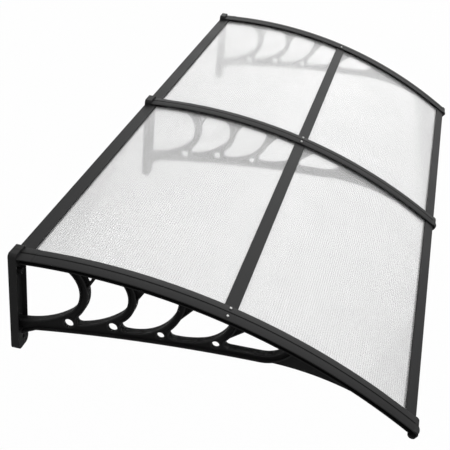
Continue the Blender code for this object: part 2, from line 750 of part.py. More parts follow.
def add_centre_bar(name, x):
    """Centre bar, grooved on both sides, with a hole for the screw at each end."""
    angle = arm_angle(CENTRE_BAR_FROM_WALL, SLOT_MIDDLE)
    outlines = bar_outlines(CENTRE_BAR_WIDTH, ("rear", "front"))
    mesh = solid_from_outlines(name, outlines, bar_length(), slope_placement(angle, x))
    base = add_object("bar_base", mesh, "cutters")
    holes = []
    for side in (-1, 1):
        hole_x = x + side * (BAY_PITCH / 2 - SCREW_SPACING / 2)
        holes.append(screw_hole(hole_x, SCREW_LENGTH + FIT))
    add_object(name, join_and_cut(base, [], holes), finish="bar_aluminium")


def sheet_outlines(start, end):
    """Section of a twin-wall sheet between two angles: its outside and its channels."""
    upper = SLOT_MIDDLE - SHEET_THICKNESS / 2
    lower = SLOT_MIDDLE + SHEET_THICKNESS / 2
    outside = []
    for depth, first, last in ((lower, start, end), (upper, end, start)):
        for k in range(SHEET_FACE_STEPS + 1):
            outside.append(arm_point(first + (last - first) * k / SHEET_FACE_STEPS, depth))
    length = (end - start) * (ARC_RADIUS - SLOT_MIDDLE)
    count = int((length - SHEET_RIB) / SHEET_PITCH)
    margin = (length - count * SHEET_PITCH) / 2
    outlines = [outside]
    for k in range(count):
        from_edge = margin + k * SHEET_PITCH + SHEET_RIB / 2
        a = start + from_edge / (ARC_RADIUS - SLOT_MIDDLE)
        b = a + (SHEET_PITCH - SHEET_RIB) / (ARC_RADIUS - SLOT_MIDDLE)
        floor = lower - SHEET_SKIN
        roof = upper + SHEET_SKIN
        outlines.append([arm_point(t, d) for t, d in ((a, floor), (b, floor), (b, roof), (a, roof))])
    return outlines


def add_sheets(bay, x):
    """The two sheets of a bay, between the rails and the centre bar."""
    mean_radius = ARC_RADIUS - SLOT_MIDDLE
    rear = arm_angle(REAR_RAIL_FROM_WALL, SLOT_MIDDLE)
    bar = arm_angle(CENTRE_BAR_FROM_WALL, SLOT_MIDDLE)
    front = front_rail_angle()
    spans = (
        ("rear_sheet", rear, REAR_RAIL_WIDTH, bar, CENTRE_BAR_WIDTH),
        ("front_sheet", bar, CENTRE_BAR_WIDTH, front, FRONT_RAIL_WIDTH),
    )
    width = BAY_PITCH - WEB_THICKNESS - 2 * SHEET_SIDE_GAP
    for label, first, first_width, last, last_width in spans:
        start = first + (first_width / 2 - SHEET_IN_GROOVE) / mean_radius
        end = last - (last_width / 2 - SHEET_IN_GROOVE) / mean_radius
        name = "%s_%d" % (label, bay)
        placement = Matrix.Translation((x, 0.0, 0.0)) @ SIDE_VIEW
        mesh = solid_from_outlines(name, sheet_outlines(start, end), width, placement)
        add_object(name, mesh, finish="sheet_polycarbonate")


def add_screw(name, x):
    """Pan-head screw, turned from its profile and slotted across its head."""
    head = SCREW_HEAD_DIAMETER / 2
    shank = SCREW_SHANK_DIAMETER / 2
    dome = arc((0.0, 0.0), 1.0, math.pi / 2, 0.0, SCREW_DOME_STEPS)
    profile = [(head * across, SCREW_HEAD_HEIGHT * up + FIT) for across, up in dome]
    profile[0] = (0.0, SCREW_HEAD_HEIGHT + FIT)
    profile[-1] = (head, FIT)
    profile += [
        (shank, FIT),
        (shank, shank - SCREW_LENGTH),
        (0.0, -SCREW_LENGTH),
    ]
    mesh = bpy.data.meshes.new(name)
    vertices = [(radius, 0.0, up) for radius, up in profile]
    mesh.from_pydata(vertices, [(i, i + 1) for i in range(len(profile) - 1)], [])
    screw = add_object(name, mesh, finish="screw_steel")
    screw.matrix_world = screw_matrix(x, 0.0)
    turn = screw.modifiers.new("turn", "SCREW")
    turn.steps = HOLE_STEPS
    turn.render_steps = HOLE_STEPS
    turn.use_merge_vertices = True
    turn.merge_threshold = WELD_DISTANCE
    turn.use_smooth_shade = True
    slot = bmesh.new()
    size = (2 * SCREW_HEAD_DIAMETER, SCREW_SLOT_WIDTH, 2 * SCREW_SLOT_DEPTH, 1.0)
    top = Matrix.Translation((0.0, 0.0, SCREW_HEAD_HEIGHT + FIT))
    bmesh.ops.create_cube(slot, size=1.0, matrix=screw.matrix_world @ top @ Matrix.Diagonal(size))
    slot_mesh = bpy.data.meshes.new(name + "_slot")
    slot.to_mesh(slot_mesh)
    slot.free()
    cut = screw.modifiers.new("slot", "BOOLEAN")
    cut.operation = "DIFFERENCE"
    cut.solver = "EXACT"
    cut.object = add_object(name + "_slot", slot_mesh, "cutters")


def build():
    """The whole canopy."""
    clear_scene()
    add_brackets()
    for i, x in enumerate(BAY_PLACES):
        add_rear_rail("rear_rail_%d" % (i + 1), x)
        add_front_rail("front_rail_%d" % (i + 1), x)
        add_centre_bar("centre_bar_%d" % (i + 1), x)
        add_sheets(i + 1, x)
    for i, x in enumerate(BRACKET_PLACES):
        add_screw("screw_%d_left" % (i + 1), x - SCREW_SPACING / 2)
        add_screw("screw_%d_right" % (i + 1), x + SCREW_SPACING / 2)


build()
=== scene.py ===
"""Looks of the polycarbonate door canopy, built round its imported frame.

Metres, +Z up. The wall is the plane Y = 0 and the canopy reaches out along -Y, so a
place in the side view is written (u, z), with u the distance from the wall.
"""

from math import acos, asin, atan2, cos, dist, hypot, pi, radians, sin, sqrt

import bmesh
import bpy
from bpy.props import FloatProperty, FloatVectorProperty, IntProperty, PointerProperty
from mathutils import Matrix, Vector


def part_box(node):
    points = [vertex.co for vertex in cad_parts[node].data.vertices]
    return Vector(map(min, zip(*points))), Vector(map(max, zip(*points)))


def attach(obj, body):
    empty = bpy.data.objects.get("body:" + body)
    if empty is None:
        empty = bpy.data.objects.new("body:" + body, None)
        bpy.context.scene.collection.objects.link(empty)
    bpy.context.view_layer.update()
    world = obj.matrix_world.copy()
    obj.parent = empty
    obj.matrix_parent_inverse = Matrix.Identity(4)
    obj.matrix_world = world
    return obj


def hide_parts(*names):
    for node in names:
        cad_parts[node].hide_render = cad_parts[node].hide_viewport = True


bl_info = {
    "name": "Door Canopy",
    "version": (1, 0, 0),
    "blender": (4, 5, 0),
    "location": "View3D > Sidebar > Canopy",
    "description": "Builds the brackets, bars, sheets and screws of a polycarbonate door canopy",
    "category": "Object",
}

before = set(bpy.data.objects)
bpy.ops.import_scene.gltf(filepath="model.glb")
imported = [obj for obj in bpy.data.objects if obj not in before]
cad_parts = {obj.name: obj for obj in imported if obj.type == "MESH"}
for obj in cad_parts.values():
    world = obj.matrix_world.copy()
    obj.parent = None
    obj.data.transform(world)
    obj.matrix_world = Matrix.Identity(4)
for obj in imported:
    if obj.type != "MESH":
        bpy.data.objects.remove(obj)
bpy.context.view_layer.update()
NODES = sorted(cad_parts)
BRACKET_NODES = [name for name in NODES if "bracket" in name]
BAR_NODES = [name for name in NODES if "rail" in name or "bar_" in name]
SHEET_NODES = [name for name in NODES if "sheet" in name]
SCREW_NODES = [name for name in NODES if "screw" in name]

# Distances under which points are the same, or lie in the same plane
SAME = 1e-6
LEVEL = 1e-5
# Gap or overlap between shapes that meet
FIT = 0.0003
# Lengths of the cutters that go right through, and steps round a drilled hole
DRILL_LENGTH = 0.08
WINDOW_CUT = 0.05
HOLE_STEPS = 48

# Arm, in depths square to its top surface
ARC_RADIUS = 1.515
CROWN_FROM_WALL = 0.1282
CROWN_Z = 0.129
ARC_CENTRE_Z = CROWN_Z - ARC_RADIUS
ARM_STEPS = 96
TOP_FLANGE = 0.0045
SLOT_HEIGHT = 0.0145
LOWER_FLANGE = 0.003
SLOT_FLOOR = TOP_FLANGE + SLOT_HEIGHT
ARM_DEPTH = SLOT_FLOOR + LOWER_FLANGE
SLOT_MIDDLE = TOP_FLANGE + SLOT_HEIGHT / 2
WEB_ROOT = ARM_DEPTH - 0.75 * LOWER_FLANGE
WEB_THICKNESS = 0.005
WEB_FILLET = 0.0005
FLANGE_EDGE = 0.0006
FINE_GROOVE_DEPTH = 0.0016
FINE_GROOVE_EDGE = 0.0004
CROWN_SHARES = (0.25, 0.5, 0.75)

# Pads of the flange next to the wall plate
PAD_END = 0.055
PAD_BESIDE = 0.0012
PAD_DEPTH = 0.0038
PAD_PROUD = 0.0005
PAD_EDGE = 0.0005
PAD_LONG_EDGE = 0.015

# Rounded end of the arm, with the bulge's three half sizes
NOSE_FROM_WALL = 0.9442
NOSE_RADIUS = 0.0119
NOSE_DEPTH = 0.0117
NOSE_EDGE = 0.0012
NOSE_CORNER = 0.006
NOSE_LIP = 0.017
NOSE_BULGE = (0.020, 0.0172, 0.0092)

# Wall plate
PLATE_HALF_HEIGHT = 0.1325
PLATE_WIDTH = 0.053
PLATE_THICKNESS = 0.0196
PLATE_TOP_CORNER = 0.009
PLATE_FOOT_CORNER = 0.015
PLATE_EDGE = 0.0009
RECESS_DEPTH = 0.0119
RECESS_ABOVE_FOOT = 0.055
RECESS_LENGTH = 0.180
RECESS_WALL = 0.003
RECESS_CORNER = 0.006
RECESS_EDGE = 0.0012
TOP_HOLE_Z = PLATE_HALF_HEIGHT - 0.055
FOOT_HOLE_Z = 0.027 - PLATE_HALF_HEIGHT
WALL_HOLE_RADIUS = 0.005
BOSS_RADIUS = 0.008
BOSS_LENGTH = 0.0184
BOSS_MIDDLE = 0.0135
BOSS_EDGE = 0.0008

# Frame under the arm
LINING = 0.0032
CHORD_RADIUS = 3.8
CHORD_APEX = (0.643, -0.0267)
CHORD_ARC = (0.056, 0.585)
CHORD_RAMP = 0.5
CHORD_WIDTH = 0.022
CHORD_STEPS = 40
GUSSET_APEX = (0.600, -0.0282)
GUSSET_RADIUS = 0.620
GUSSET_STEPS = 30
WEB_TOP_STEPS = 60
SOFFIT = ARM_DEPTH + 0.0017

# Each opening's ring: centre from the wall, drop below the arm, radius, thickness of the
# crescent outside it, degrees at which it runs into its tail, and the tail's radius
RINGS = (
    (0.0920, 0.0566, 0.0703, 0.0204, -50.5, 0.212),
    (0.2152, 0.0426, 0.0613, 0.0184, -47.2, 0.206),
    (0.2778, 0.0083, 0.1148, 0.0166, -73.3, 0.1415),
    (0.4201, -0.0046, 0.0945, 0.0178, -71.7, 0.205),
)
END_RING = (0.583, 0.0715, 0.0192, -88.3, 5.0)
# Each crescent's fork under the arm: how far it spreads and how deep it starts
FORKS = ((0.0200, 0.036), (0.0195, 0.0345), (0.0280, 0.038), (0.0330, 0.034))
FORK_HOLE = ((0.1826, 0.0855), (0.1892, 0.0985), (0.1752, 0.0990))
FORK_HOLE_ROUND = 0.0014
BACK_SET_IN = 0.0008
CORNER_BLEND = 0.018
CORNER_RUN = 0.009
CORNER_FROM_HOLE = 0.0145
TOP_BLEND = 0.003
TOP_STEPS = 12
WALL_BLEND = 0.004
# Share of a blend that is rounded, so that two blends on one edge stay apart
BLEND_SHARE = 0.95

# Lightening holes: distance from the wall, rise above the chord's edge, radius
WEB_HOLES = (
    (0.134, 0.0228, 0.01125),
    (0.240, 0.0247, 0.01125),
    (0.353, 0.0197, 0.0090),
    (0.481, 0.0197, 0.0090),
)
HOLE_RING = 0.005
HOLE_RING_PROUD = 0.003
HOLE_RING_EDGE = 0.0006

# Sheets and the bars that hold them; they rest low in the slots
SHEET_THICKNESS = 0.005
SHEET_SKIN = 0.0004
SHEET_RIB = 0.0004
SHEET_DEPTH = SLOT_MIDDLE + 0.0032
GRIP = 0.010
BAR_GROOVE_DEPTH = 0.012
BAR_FALL = 0.0018
BAR_WIDTH = 0.0325
REAR_RAIL_WIDTH = 0.040
# How far a rail's lip draws back: the lip away from the wall, or if negative the other
RAIL_NARROWING = {"rear_rail": 0.0035, "front_rail": -0.003}

# Screws: the head's outline in shares of its radius and height, then the shank's places
SCREW_FROM_WALL = 0.5010
SCREW_HEAD_RADIUS = 0.0033
SCREW_HEAD_HEIGHT = 0.0029
SCREW_HEAD = ((0.45, 0.97), (0.75, 0.86), (0.93, 0.62), (1.0, 0.34), (1.0, -0.33))
SCREW_SHANK = ((0.0017, -0.001), (0.0017, -0.0105), (0.0, -0.0118))
SCREW_STEPS = 32
CROSS_HALF_SIZES = (0.0016, 0.0004)
CROSS_DEPTH = 0.0012

# Studio: each light's name, place, size and power
FLOOR_DROP = 0.60
FLOOR_REACH = 40.0
FLOOR_WHITE = 0.985
WORLD_LIGHT = 0.70
LIGHTS = (
    ("key_light", (7.2, -1.4, 3.9), (9.0, 5.6), 250.0),
    ("top_light", (-0.4, -1.6, 3.4), (3.2, 3.2), 55.0),
)
LIGHT_AIM = (0.0, -0.45, 0.0)
CAMERA_PLACE = (-2.57577, -0.78758, 1.22624)
CAMERA_TURN = (59.98224, -5.30077, -77.28558)
CAMERA_LENS = 72.6445
CAMERA_SHIFT = (-0.040405, 0.009863)

BLACK = (0.0, 0.0, 0.0, 1.0)
WHITE = (1.0, 1.0, 1.0, 1.0)
DUST = (0.30, 0.30, 0.29, 1.0)
SHEET_TINT = (0.962, 0.962, 0.962, 1.0)


class CanopySizes(bpy.types.PropertyGroup):
    """Sizes that may be changed without leaving the frame."""

    arm_width: FloatProperty(
        name="Arm width", description="Width of the arm's top flange",
        default=0.052, min=0.03, max=0.053, unit="LENGTH",
    )
    arm_crown: FloatProperty(
        name="Arm crown", description="Fall of the top flange from its middle to its edges",
        default=0.0021, min=0.0, max=0.0024, unit="LENGTH",
    )
    arm_edge: FloatProperty(
        name="Arm edge", description="Rounding of the top flange's edges",
        default=0.0016, min=0.0002, max=0.002, unit="LENGTH",
    )
    groove_width: FloatProperty(
        name="Groove width", description="Width of the fine groove along the arm",
        default=0.0042, min=0.0005, max=0.006, unit="LENGTH",
    )
    lower_width: FloatProperty(
        name="Lower flange width", description="Width of the flange under the slot",
        default=0.030, min=0.01, max=0.046, unit="LENGTH",
    )
    lining_width: FloatProperty(
        name="Lining width", description="Width of the rims of the openings",
        default=0.021, min=0.01, max=0.03, unit="LENGTH",
    )
    rim_round: FloatProperty(
        name="Rim rounding", description="Rounding of the rims' edges",
        default=0.0006, min=0.0001, max=0.0012, unit="LENGTH",
    )
    bar_edge: FloatProperty(
        name="Bar edge", description="Rounding of the long edges of the bars",
        default=0.0005, min=0.0001, max=0.001, unit="LENGTH",
    )
    flute_pitch: FloatProperty(
        name="Flute pitch", description="Distance between the ribs of the twin-wall sheet",
        default=0.0057, min=0.004, max=0.02, unit="LENGTH",
    )
    turn_steps: IntProperty(
        name="Turn steps", description="Steps in a full turn of a round edge",
        default=96, min=24, max=256,
    )


class CanopyColours(bpy.types.PropertyGroup):
    """Colours of the finishes."""

    bracket: FloatVectorProperty(
        name="Bracket plastic", description="Moulded bracket", subtype="COLOR",
        default=(0.0175, 0.0175, 0.0177), min=0.0, max=1.0,
    )
    bar: FloatVectorProperty(
        name="Bar coating", description="Powder coat of rails and bars", subtype="COLOR",
        default=(0.020, 0.020, 0.0203), min=0.0, max=1.0,
    )
    sheet: FloatVectorProperty(
        name="Polycarbonate", description="Translucent sheet", subtype="COLOR",
        default=(0.945, 0.945, 0.945), min=0.0, max=1.0,
    )
    screw: FloatVectorProperty(
        name="Screw steel", description="Zinc-plated steel", subtype="COLOR",
        default=(0.70, 0.70, 0.69), min=0.0, max=1.0,
    )
    floor: FloatVectorProperty(
        name="Floor", description="Studio floor and backdrop", subtype="COLOR",
        default=(0.42, 0.42, 0.42), min=0.0, max=1.0,
    )


class Value:
    """A number socket on which Python's operators add Math nodes."""

    def __init__(self, finish, socket):
        self.finish = finish
        self.socket = socket

    def maths(self, operation, first, second):
        """Result of one Math node."""
        node = self.finish.node(
            "ShaderNodeMath", {"operation": operation}, {0: first, 1: second}
        )
        return Value(self.finish, node.outputs[0])

    def __add__(self, other):
        return self.maths("ADD", self, other)

    __radd__ = __add__

    def __rsub__(self, other):
        return self.maths("SUBTRACT", other, self)

    def __mul__(self, other):
        return self.maths("MULTIPLY", self, other)

    __rmul__ = __mul__

    def larger(self, other):
        """The larger of two numbers."""
        return self.maths("MAXIMUM", self, other)

    def folded(self, span):
        """Distance to the nearest whole number of spans."""
        return self.maths("PINGPONG", self, span / 2)


class Finish:
    """A material, or the world's light, put together from nodes."""

    def __init__(self, name, store=None):
        self.owner = (bpy.data.materials if store is None else store).new(name)
        self.owner.use_nodes = True
        self.tree = self.owner.node_tree
        self.tree.nodes.clear()

    def node(self, kind, settings=None, sockets=None):
        """A node with its settings made first, and then its sockets' values or links."""
        made = self.tree.nodes.new(kind)
        for name, setting in (settings or {}).items():
            setattr(made, name, setting)
        for name, given in (sockets or {}).items():
            if isinstance(given, Value):
                given = given.socket
            if isinstance(given, bpy.types.NodeSocket):
                self.tree.links.new(given, made.inputs[name])
            else:
                made.inputs[name].default_value = given
        return made

    def place(self, scale=(1.0, 1.0, 1.0)):
        """Place on the piece, in metres, stretched by a scale."""
        place = self.node("ShaderNodeTexCoord").outputs["Object"]
        mapping = self.node("ShaderNodeMapping", None, {"Vector": place, "Scale": scale})
        return mapping.outputs["Vector"]

    def noise(self, scale, detail=2.0, roughness=0.5, stretch=(1.0, 1.0, 1.0)):
        """Smooth noise from 0 to 1, with so many features to the metre."""
        node = self.node("ShaderNodeTexNoise", None, {
            "Vector": self.place(stretch), "Scale": scale, "Detail": detail,
            "Roughness": roughness,
        })
        return Value(self, node.outputs["Fac"])

    def spread(self, value, low, high):
        """Value spread from the range low to high over 0 to 1, and held there."""
        node = self.node("ShaderNodeMapRange", {"clamp": True}, {
            "Value": value, "From Min": low, "From Max": high,
        })
        return Value(self, node.outputs[0])

    def mix(self, factor, first, second):
        """Colour between two colours."""
        node = self.node(
            "ShaderNodeMix", {"data_type": "RGBA"}, {0: factor, 6: first, 7: second}
        )
        return node.outputs[2]

    def mix_shaders(self, factor, first, second):
        """Shader between those of two nodes."""
        return self.node("ShaderNodeMixShader", None, {
            0: factor, 1: first.outputs[0], 2: second.outputs[0],
        })

    def bump(self, height, strength, distance):
        """Normal from a height."""
        node = self.node("ShaderNodeBump", None, {
            "Height": height, "Strength": strength, "Distance": distance,
        })
        return node.outputs["Normal"]

    def seen(self):
        """1 on rays from the camera, also through a sheet, and 0 on the others."""
        path = self.node("ShaderNodeLightPath")
        straight = Value(self, path.outputs["Is Camera Ray"])
        return straight.larger(Value(self, path.outputs["Is Transmission Ray"]))

    def close(self, shader):
        """The material or world, with a node's shader as its surface."""
        kind = "World" if isinstance(self.owner, bpy.types.World) else "Material"
        self.node("ShaderNodeOutput" + kind, None, {"Surface": shader.outputs[0]})
        return self.owner


def shade(colour, factor):
    """Colour made lighter or darker, with its alpha."""
    return (*(min(1.0, part * factor) for part in colour), 1.0)


def middle_x(node):
    """Place along the wall of the middle of a node's box."""
    low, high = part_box(node)
    return (low[0] + high[0]) / 2


def moulded_plastic(colour):
    """Satin black moulding: fine spark-eroded grain, flow marks and a little dust.

    The web's faces, sunk between the rims, get painted shade: their colour is darkened towards
    black, standing in for the shade of that recess.
    """
    finish = Finish("moulded_plastic")
    place = finish.node("ShaderNodeSeparateXYZ", None, {0: finish.place()})
    spacing = middle_x(BRACKET_NODES[1]) - middle_x(BRACKET_NODES[0])
    from_middle = Value(finish, place.outputs["X"]).folded(spacing)
    # Painted shade mask: 1 on the web's faces between the rims, which are darkened as if by the
    # shade of that recess
    painted_web_shade = 1.0 - finish.spread(from_middle, 0.0026, 0.0046)
    cloud = finish.noise(7.0, detail=3.0)
    flow = finish.noise(1.0, detail=4.0, stretch=(60.0, 5.0, 60.0))
    grain = finish.noise(1900.0, detail=1.0)
    dust = finish.spread(finish.noise(160.0, detail=6.0, roughness=0.7), 0.62, 0.80)
    tone = finish.spread(cloud * 0.6 + flow * 0.4, 0.30, 0.70)
    plain = finish.mix(tone, shade(colour, 0.86), shade(colour, 1.16))
    # Painted shade: the web's faces are mixed 45 % towards black
    plain = finish.mix(painted_web_shade * 0.45, plain, BLACK)
    shader = finish.node("ShaderNodeBsdfPrincipled", None, {
        "Base Color": finish.mix(dust * 0.10, plain, DUST),
        "Roughness": 0.44 + 0.12 * tone + 0.15 * dust,
        "IOR": 1.49,
        "Specular IOR Level": 0.12,
        "Normal": finish.bump(grain + flow * 0.5, 0.22, 0.0002),
    })
    return finish.close(shader)


def powder_coat(colour):
    """Dark powder coat on an extrusion: orange peel and faint draw lines."""
    finish = Finish("powder_coat")
    cloud = finish.noise(5.0)
    peel = finish.noise(420.0)
    lines = finish.noise(1.0, detail=3.0, stretch=(1.5, 420.0, 420.0))
    tone = finish.spread(cloud * 0.7 + lines * 0.3, 0.35, 0.65)
    shader = finish.node("ShaderNodeBsdfPrincipled", None, {
        "Base Color": finish.mix(tone, shade(colour, 0.90), shade(colour, 1.10)),
        "Roughness": 0.42 + 0.08 * tone,
        "IOR": 1.5,
        "Specular IOR Level": 0.08,
        "Normal": finish.bump(peel + lines * 0.4, 0.16, 0.0003),
    })
    return finish.close(shader)


def zinc_steel(colour):
    """Zinc-plated steel, turned and slightly clouded."""
    finish = Finish("zinc_steel")
    cloud = finish.noise(900.0, detail=3.0)
    shader = finish.node("ShaderNodeBsdfPrincipled", None, {
        "Base Color": finish.mix(cloud, shade(colour, 0.88), shade(colour, 1.08)),
        "Metallic": 1.0,
        "Roughness": 0.28 + 0.16 * cloud,
    })
    return finish.close(shader)


def frosted_skin(colour):
    """Outer face of the sheet: milky, with a soft gloss, and partly seen through."""
    finish = Finish("frosted_skin")
    cloud = finish.noise(6.0)
    ripple = finish.noise(1.0, stretch=(3.0, 160.0, 160.0))
    tone = finish.spread(cloud, 0.3, 0.7)
    milk = finish.mix(tone, shade(colour, 0.985), shade(colour, 1.0))
    normal = finish.bump(ripple, 0.03, 0.0003)
    face = finish.node("ShaderNodeBsdfPrincipled", None, {
        "Base Color": milk, "Roughness": 0.36 + 0.06 * tone, "IOR": 1.50,
        "Specular IOR Level": 0.15, "Normal": normal,
    })
    glow = finish.node("ShaderNodeBsdfTranslucent", None, {"Color": milk, "Normal": normal})
    body = finish.mix_shaders(0.25, face, glow)
    blurred = finish.node("ShaderNodeBsdfGlass", {"distribution": "MULTI_GGX"}, {
        "Color": SHEET_TINT, "Roughness": 0.08, "IOR": 1.12,
    })
    return finish.close(finish.mix_shaders(0.83 + 0.03 * tone, body, blurred))


def clear_flute(name, colour, milkiness):
    """Faces inside the flutes, which veil a little of what is seen through them."""
    finish = Finish(name)
    cloud = finish.noise(40.0)
    glow = finish.node("ShaderNodeBsdfTranslucent", None, {
        "Color": finish.mix(cloud, shade(colour, 0.96), shade(colour, 1.00)),
    })
    clear = finish.node("ShaderNodeBsdfTransparent", None, {"Color": WHITE})
    return finish.close(finish.mix_shaders((1.0 - milkiness) + 0.02 * cloud, glow, clear))


def spot(u, z, x=0.0):
    """Point of the side view in the frame's axes."""
    return Vector((x, -u, z))


def arm_angle(u, depth):
    """Angle from the vertical at which the arm's curve is u from the wall."""
    return asin((u - CROWN_FROM_WALL) / (ARC_RADIUS - depth))


def arm_point(angle, depth, along=0.0):
    """Side-view place at an angle and depth of the arm, moved along its tangent."""
    u = CROWN_FROM_WALL + (ARC_RADIUS - depth) * sin(angle) + along * cos(angle)
    z = ARC_CENTRE_Z + (ARC_RADIUS - depth) * cos(angle) - along * sin(angle)
    return u, z


def arm_z(u, depth):
    """Height of the arm's curve at a distance from the wall."""
    return arm_point(arm_angle(u, depth), depth)[1]


def chord_z(u):
    """Height of the chord's lower edge."""
    reach = u - CHORD_APEX[0]
    return CHORD_APEX[1] - CHORD_RADIUS + sqrt(CHORD_RADIUS ** 2 - reach ** 2)


def chord_arc():
    """Centre of the chord's curve, and the two angles between which it runs."""
    centre = (CHORD_APEX[0], CHORD_APEX[1] - CHORD_RADIUS)
    first, last = (acos((u - CHORD_APEX[0]) / CHORD_RADIUS) for u in CHORD_ARC)
    return centre, first, last


def ramp_foot():
    """Place inside the wall plate from which the chord's straight ramp rises."""
    u = (PLATE_THICKNESS - RECESS_DEPTH) / 2
    return u, chord_z(CHORD_ARC[0]) - (CHORD_ARC[0] - u) * CHORD_RAMP


def around(centre, radius, angle):
    """Side-view place on a circle."""
    return centre[0] + radius * cos(angle), centre[1] + radius * sin(angle)


def meets_arm(centre, radius, depth, side=1):
    """Angle at which a circle crosses the arm's curve, to one side of the centre line."""
    away_u = CROWN_FROM_WALL - centre[0]
    away_z = ARC_CENTRE_Z - centre[1]
    distance = hypot(away_u, away_z)
    squares = radius ** 2 + distance ** 2 - (ARC_RADIUS - depth) ** 2
    angle = atan2(away_z, away_u) + side * acos(squares / (2 * radius * distance))
    return angle + 2 * pi if angle < -pi else angle


class Pen:
    """Draws a closed line in the side view by carrying one vertex along it."""

    def __init__(self, turn_steps):
        self.bm = bmesh.new()
        self.tip = self.first = None
        self.turn_steps = turn_steps
        self.rounded = []

    def line(self, place, rounding=0.0):
        """Straight on to a place, whose corner may be rounded over a reach."""
        target = spot(*place)
        if self.tip is None:
            self.tip = self.first = self.bm.verts.new(target)
        elif (self.tip.co - target).length > SAME:
            self.tip = bmesh.ops.extrude_vert_indiv(self.bm, verts=[self.tip])["verts"][0]
            self.tip.co = target
        if rounding:
            self.rounded.append((self.tip, rounding))

    def arc(self, centre, radius, start, end, steps=0):
        """Round a centre from one angle to another, in radians."""
        self.line(around(centre, radius, start))
        steps = steps or max(2, round(abs(end - start) / (2 * pi) * self.turn_steps))
        spun = bmesh.ops.spin(
            self.bm, geom=[self.tip], cent=spot(*centre), axis=(1.0, 0.0, 0.0),
            angle=start - end, steps=steps, use_duplicate=False,
        )
        self.tip = next(v for v in spun["geom_last"] if isinstance(v, bmesh.types.BMVert))

    def along_arm(self, start, end, depth, steps):
        """Along the arm's curve from one angle from the vertical to another."""
        centre = (CROWN_FROM_WALL, ARC_CENTRE_Z)
        self.arc(centre, ARC_RADIUS - depth, pi / 2 - start, pi / 2 - end, steps)

    def face(self):
        """The line closed and filled, with its marked corners rounded."""
        if (self.tip.co - self.first.co).length > SAME:
            self.bm.edges.new((self.tip, self.first))
        corners = [(vert.co.copy(), reach) for vert, reach in self.rounded]
        bmesh.ops.remove_doubles(self.bm, verts=self.bm.verts, dist=SAME)
        filled = bmesh.ops.contextual_create(self.bm, geom=self.bm.edges[:])["faces"]
        if len(filled) != 1:
            raise RuntimeError("an outline didn't close")
        for place, reach in corners:
            vert = min(self.bm.verts, key=lambda v: (v.co - place).length)
            bevel(self.bm, [vert], reach, 6, "VERTICES")
        return self.bm.faces[:][0]


def thicken(bm, faces, width, x=0.0):
    """Makes flat faces into a closed solid of a width, centred on x."""
    bmesh.ops.translate(bm, verts=bm.verts, vec=(x - width / 2, 0.0, 0.0))
    grown = bmesh.ops.extrude_face_region(bm, geom=faces)
    verts = [item for item in grown["geom"] if isinstance(item, bmesh.types.BMVert)]
    bmesh.ops.translate(bm, verts=verts, vec=(width, 0.0, 0.0))
    bmesh.ops.recalc_face_normals(bm, faces=bm.faces)


def bevel(bm, geometry, radius, segments, affect="EDGES", clamp=False):
    """Rounds edges, or the corners of a flat face, over a radius."""
    bmesh.ops.bevel(
        bm, geom=geometry, offset=radius, offset_type="OFFSET", affect=affect,
        segments=segments, profile=0.5, material=-1, clamp_overlap=clamp,
    )


def round_edges(bm, radius, chosen=lambda edge: True):
    """Rounds the edges at which the surface turns sharply, or the chosen ones of them."""
    sharp = [e for e in bm.edges if e.is_manifold and e.calc_face_angle() > radians(60)]
    bevel(bm, [e for e in sharp if chosen(e)], radius, 2, clamp=True)


def bevel_where(bm, radius, segments, chosen):
    """Rounds the edges that a test on their two ends picks."""
    edges = [e for e in bm.edges if chosen(e.verts[0].co, e.verts[1].co)]
    bevel(bm, edges, radius, segments)


def runs_along(edge):
    """Whether an edge runs along a side view's outline, and not across the wall."""
    return abs(edge.verts[0].co.x - edge.verts[1].co.x) < SAME


def placed(name, mesh):
    """Object of a mesh, put into the scene."""
    made = bpy.data.objects.new(name, mesh)
    bpy.context.collection.objects.link(made)
    return made


def piece(name, bm):
    """Object of a finished bmesh."""
    mesh = bpy.data.meshes.new(name)
    bm.to_mesh(mesh)
    bm.free()
    return placed(name, mesh)


def joined_and_cut(base, joined, cut, trim=()):
    """Mesh of a base, trimmed to solids, with others joined to it and cut out of it."""
    for operation, others in (("INTERSECT", trim), ("UNION", joined), ("DIFFERENCE", cut)):
        for other in others:
            modifier = base.modifiers.new(other.name, "BOOLEAN")
            modifier.operation = operation
            modifier.solver = "MANIFOLD"
            modifier.object = other
    bpy.context.view_layer.update()
    graph = bpy.context.evaluated_depsgraph_get()
    mesh = bpy.data.meshes.new_from_object(base.evaluated_get(graph))
    for other in [base, *trim, *joined, *cut]:
        bpy.data.objects.remove(other, do_unlink=True)
    return mesh


def rings():
    """Every opening's ring: centre, radius, crescent, direction of the tail, tail radius."""
    listed = [((u, arm_z(u, ARM_DEPTH) - drop), *rest) for u, drop, *rest in RINGS]
    u, radius, crescent, *rest = END_RING
    end = (u, chord_z(CHORD_ARC[1]) + radius + crescent)
    return [*listed, (end, radius, crescent, *rest)]


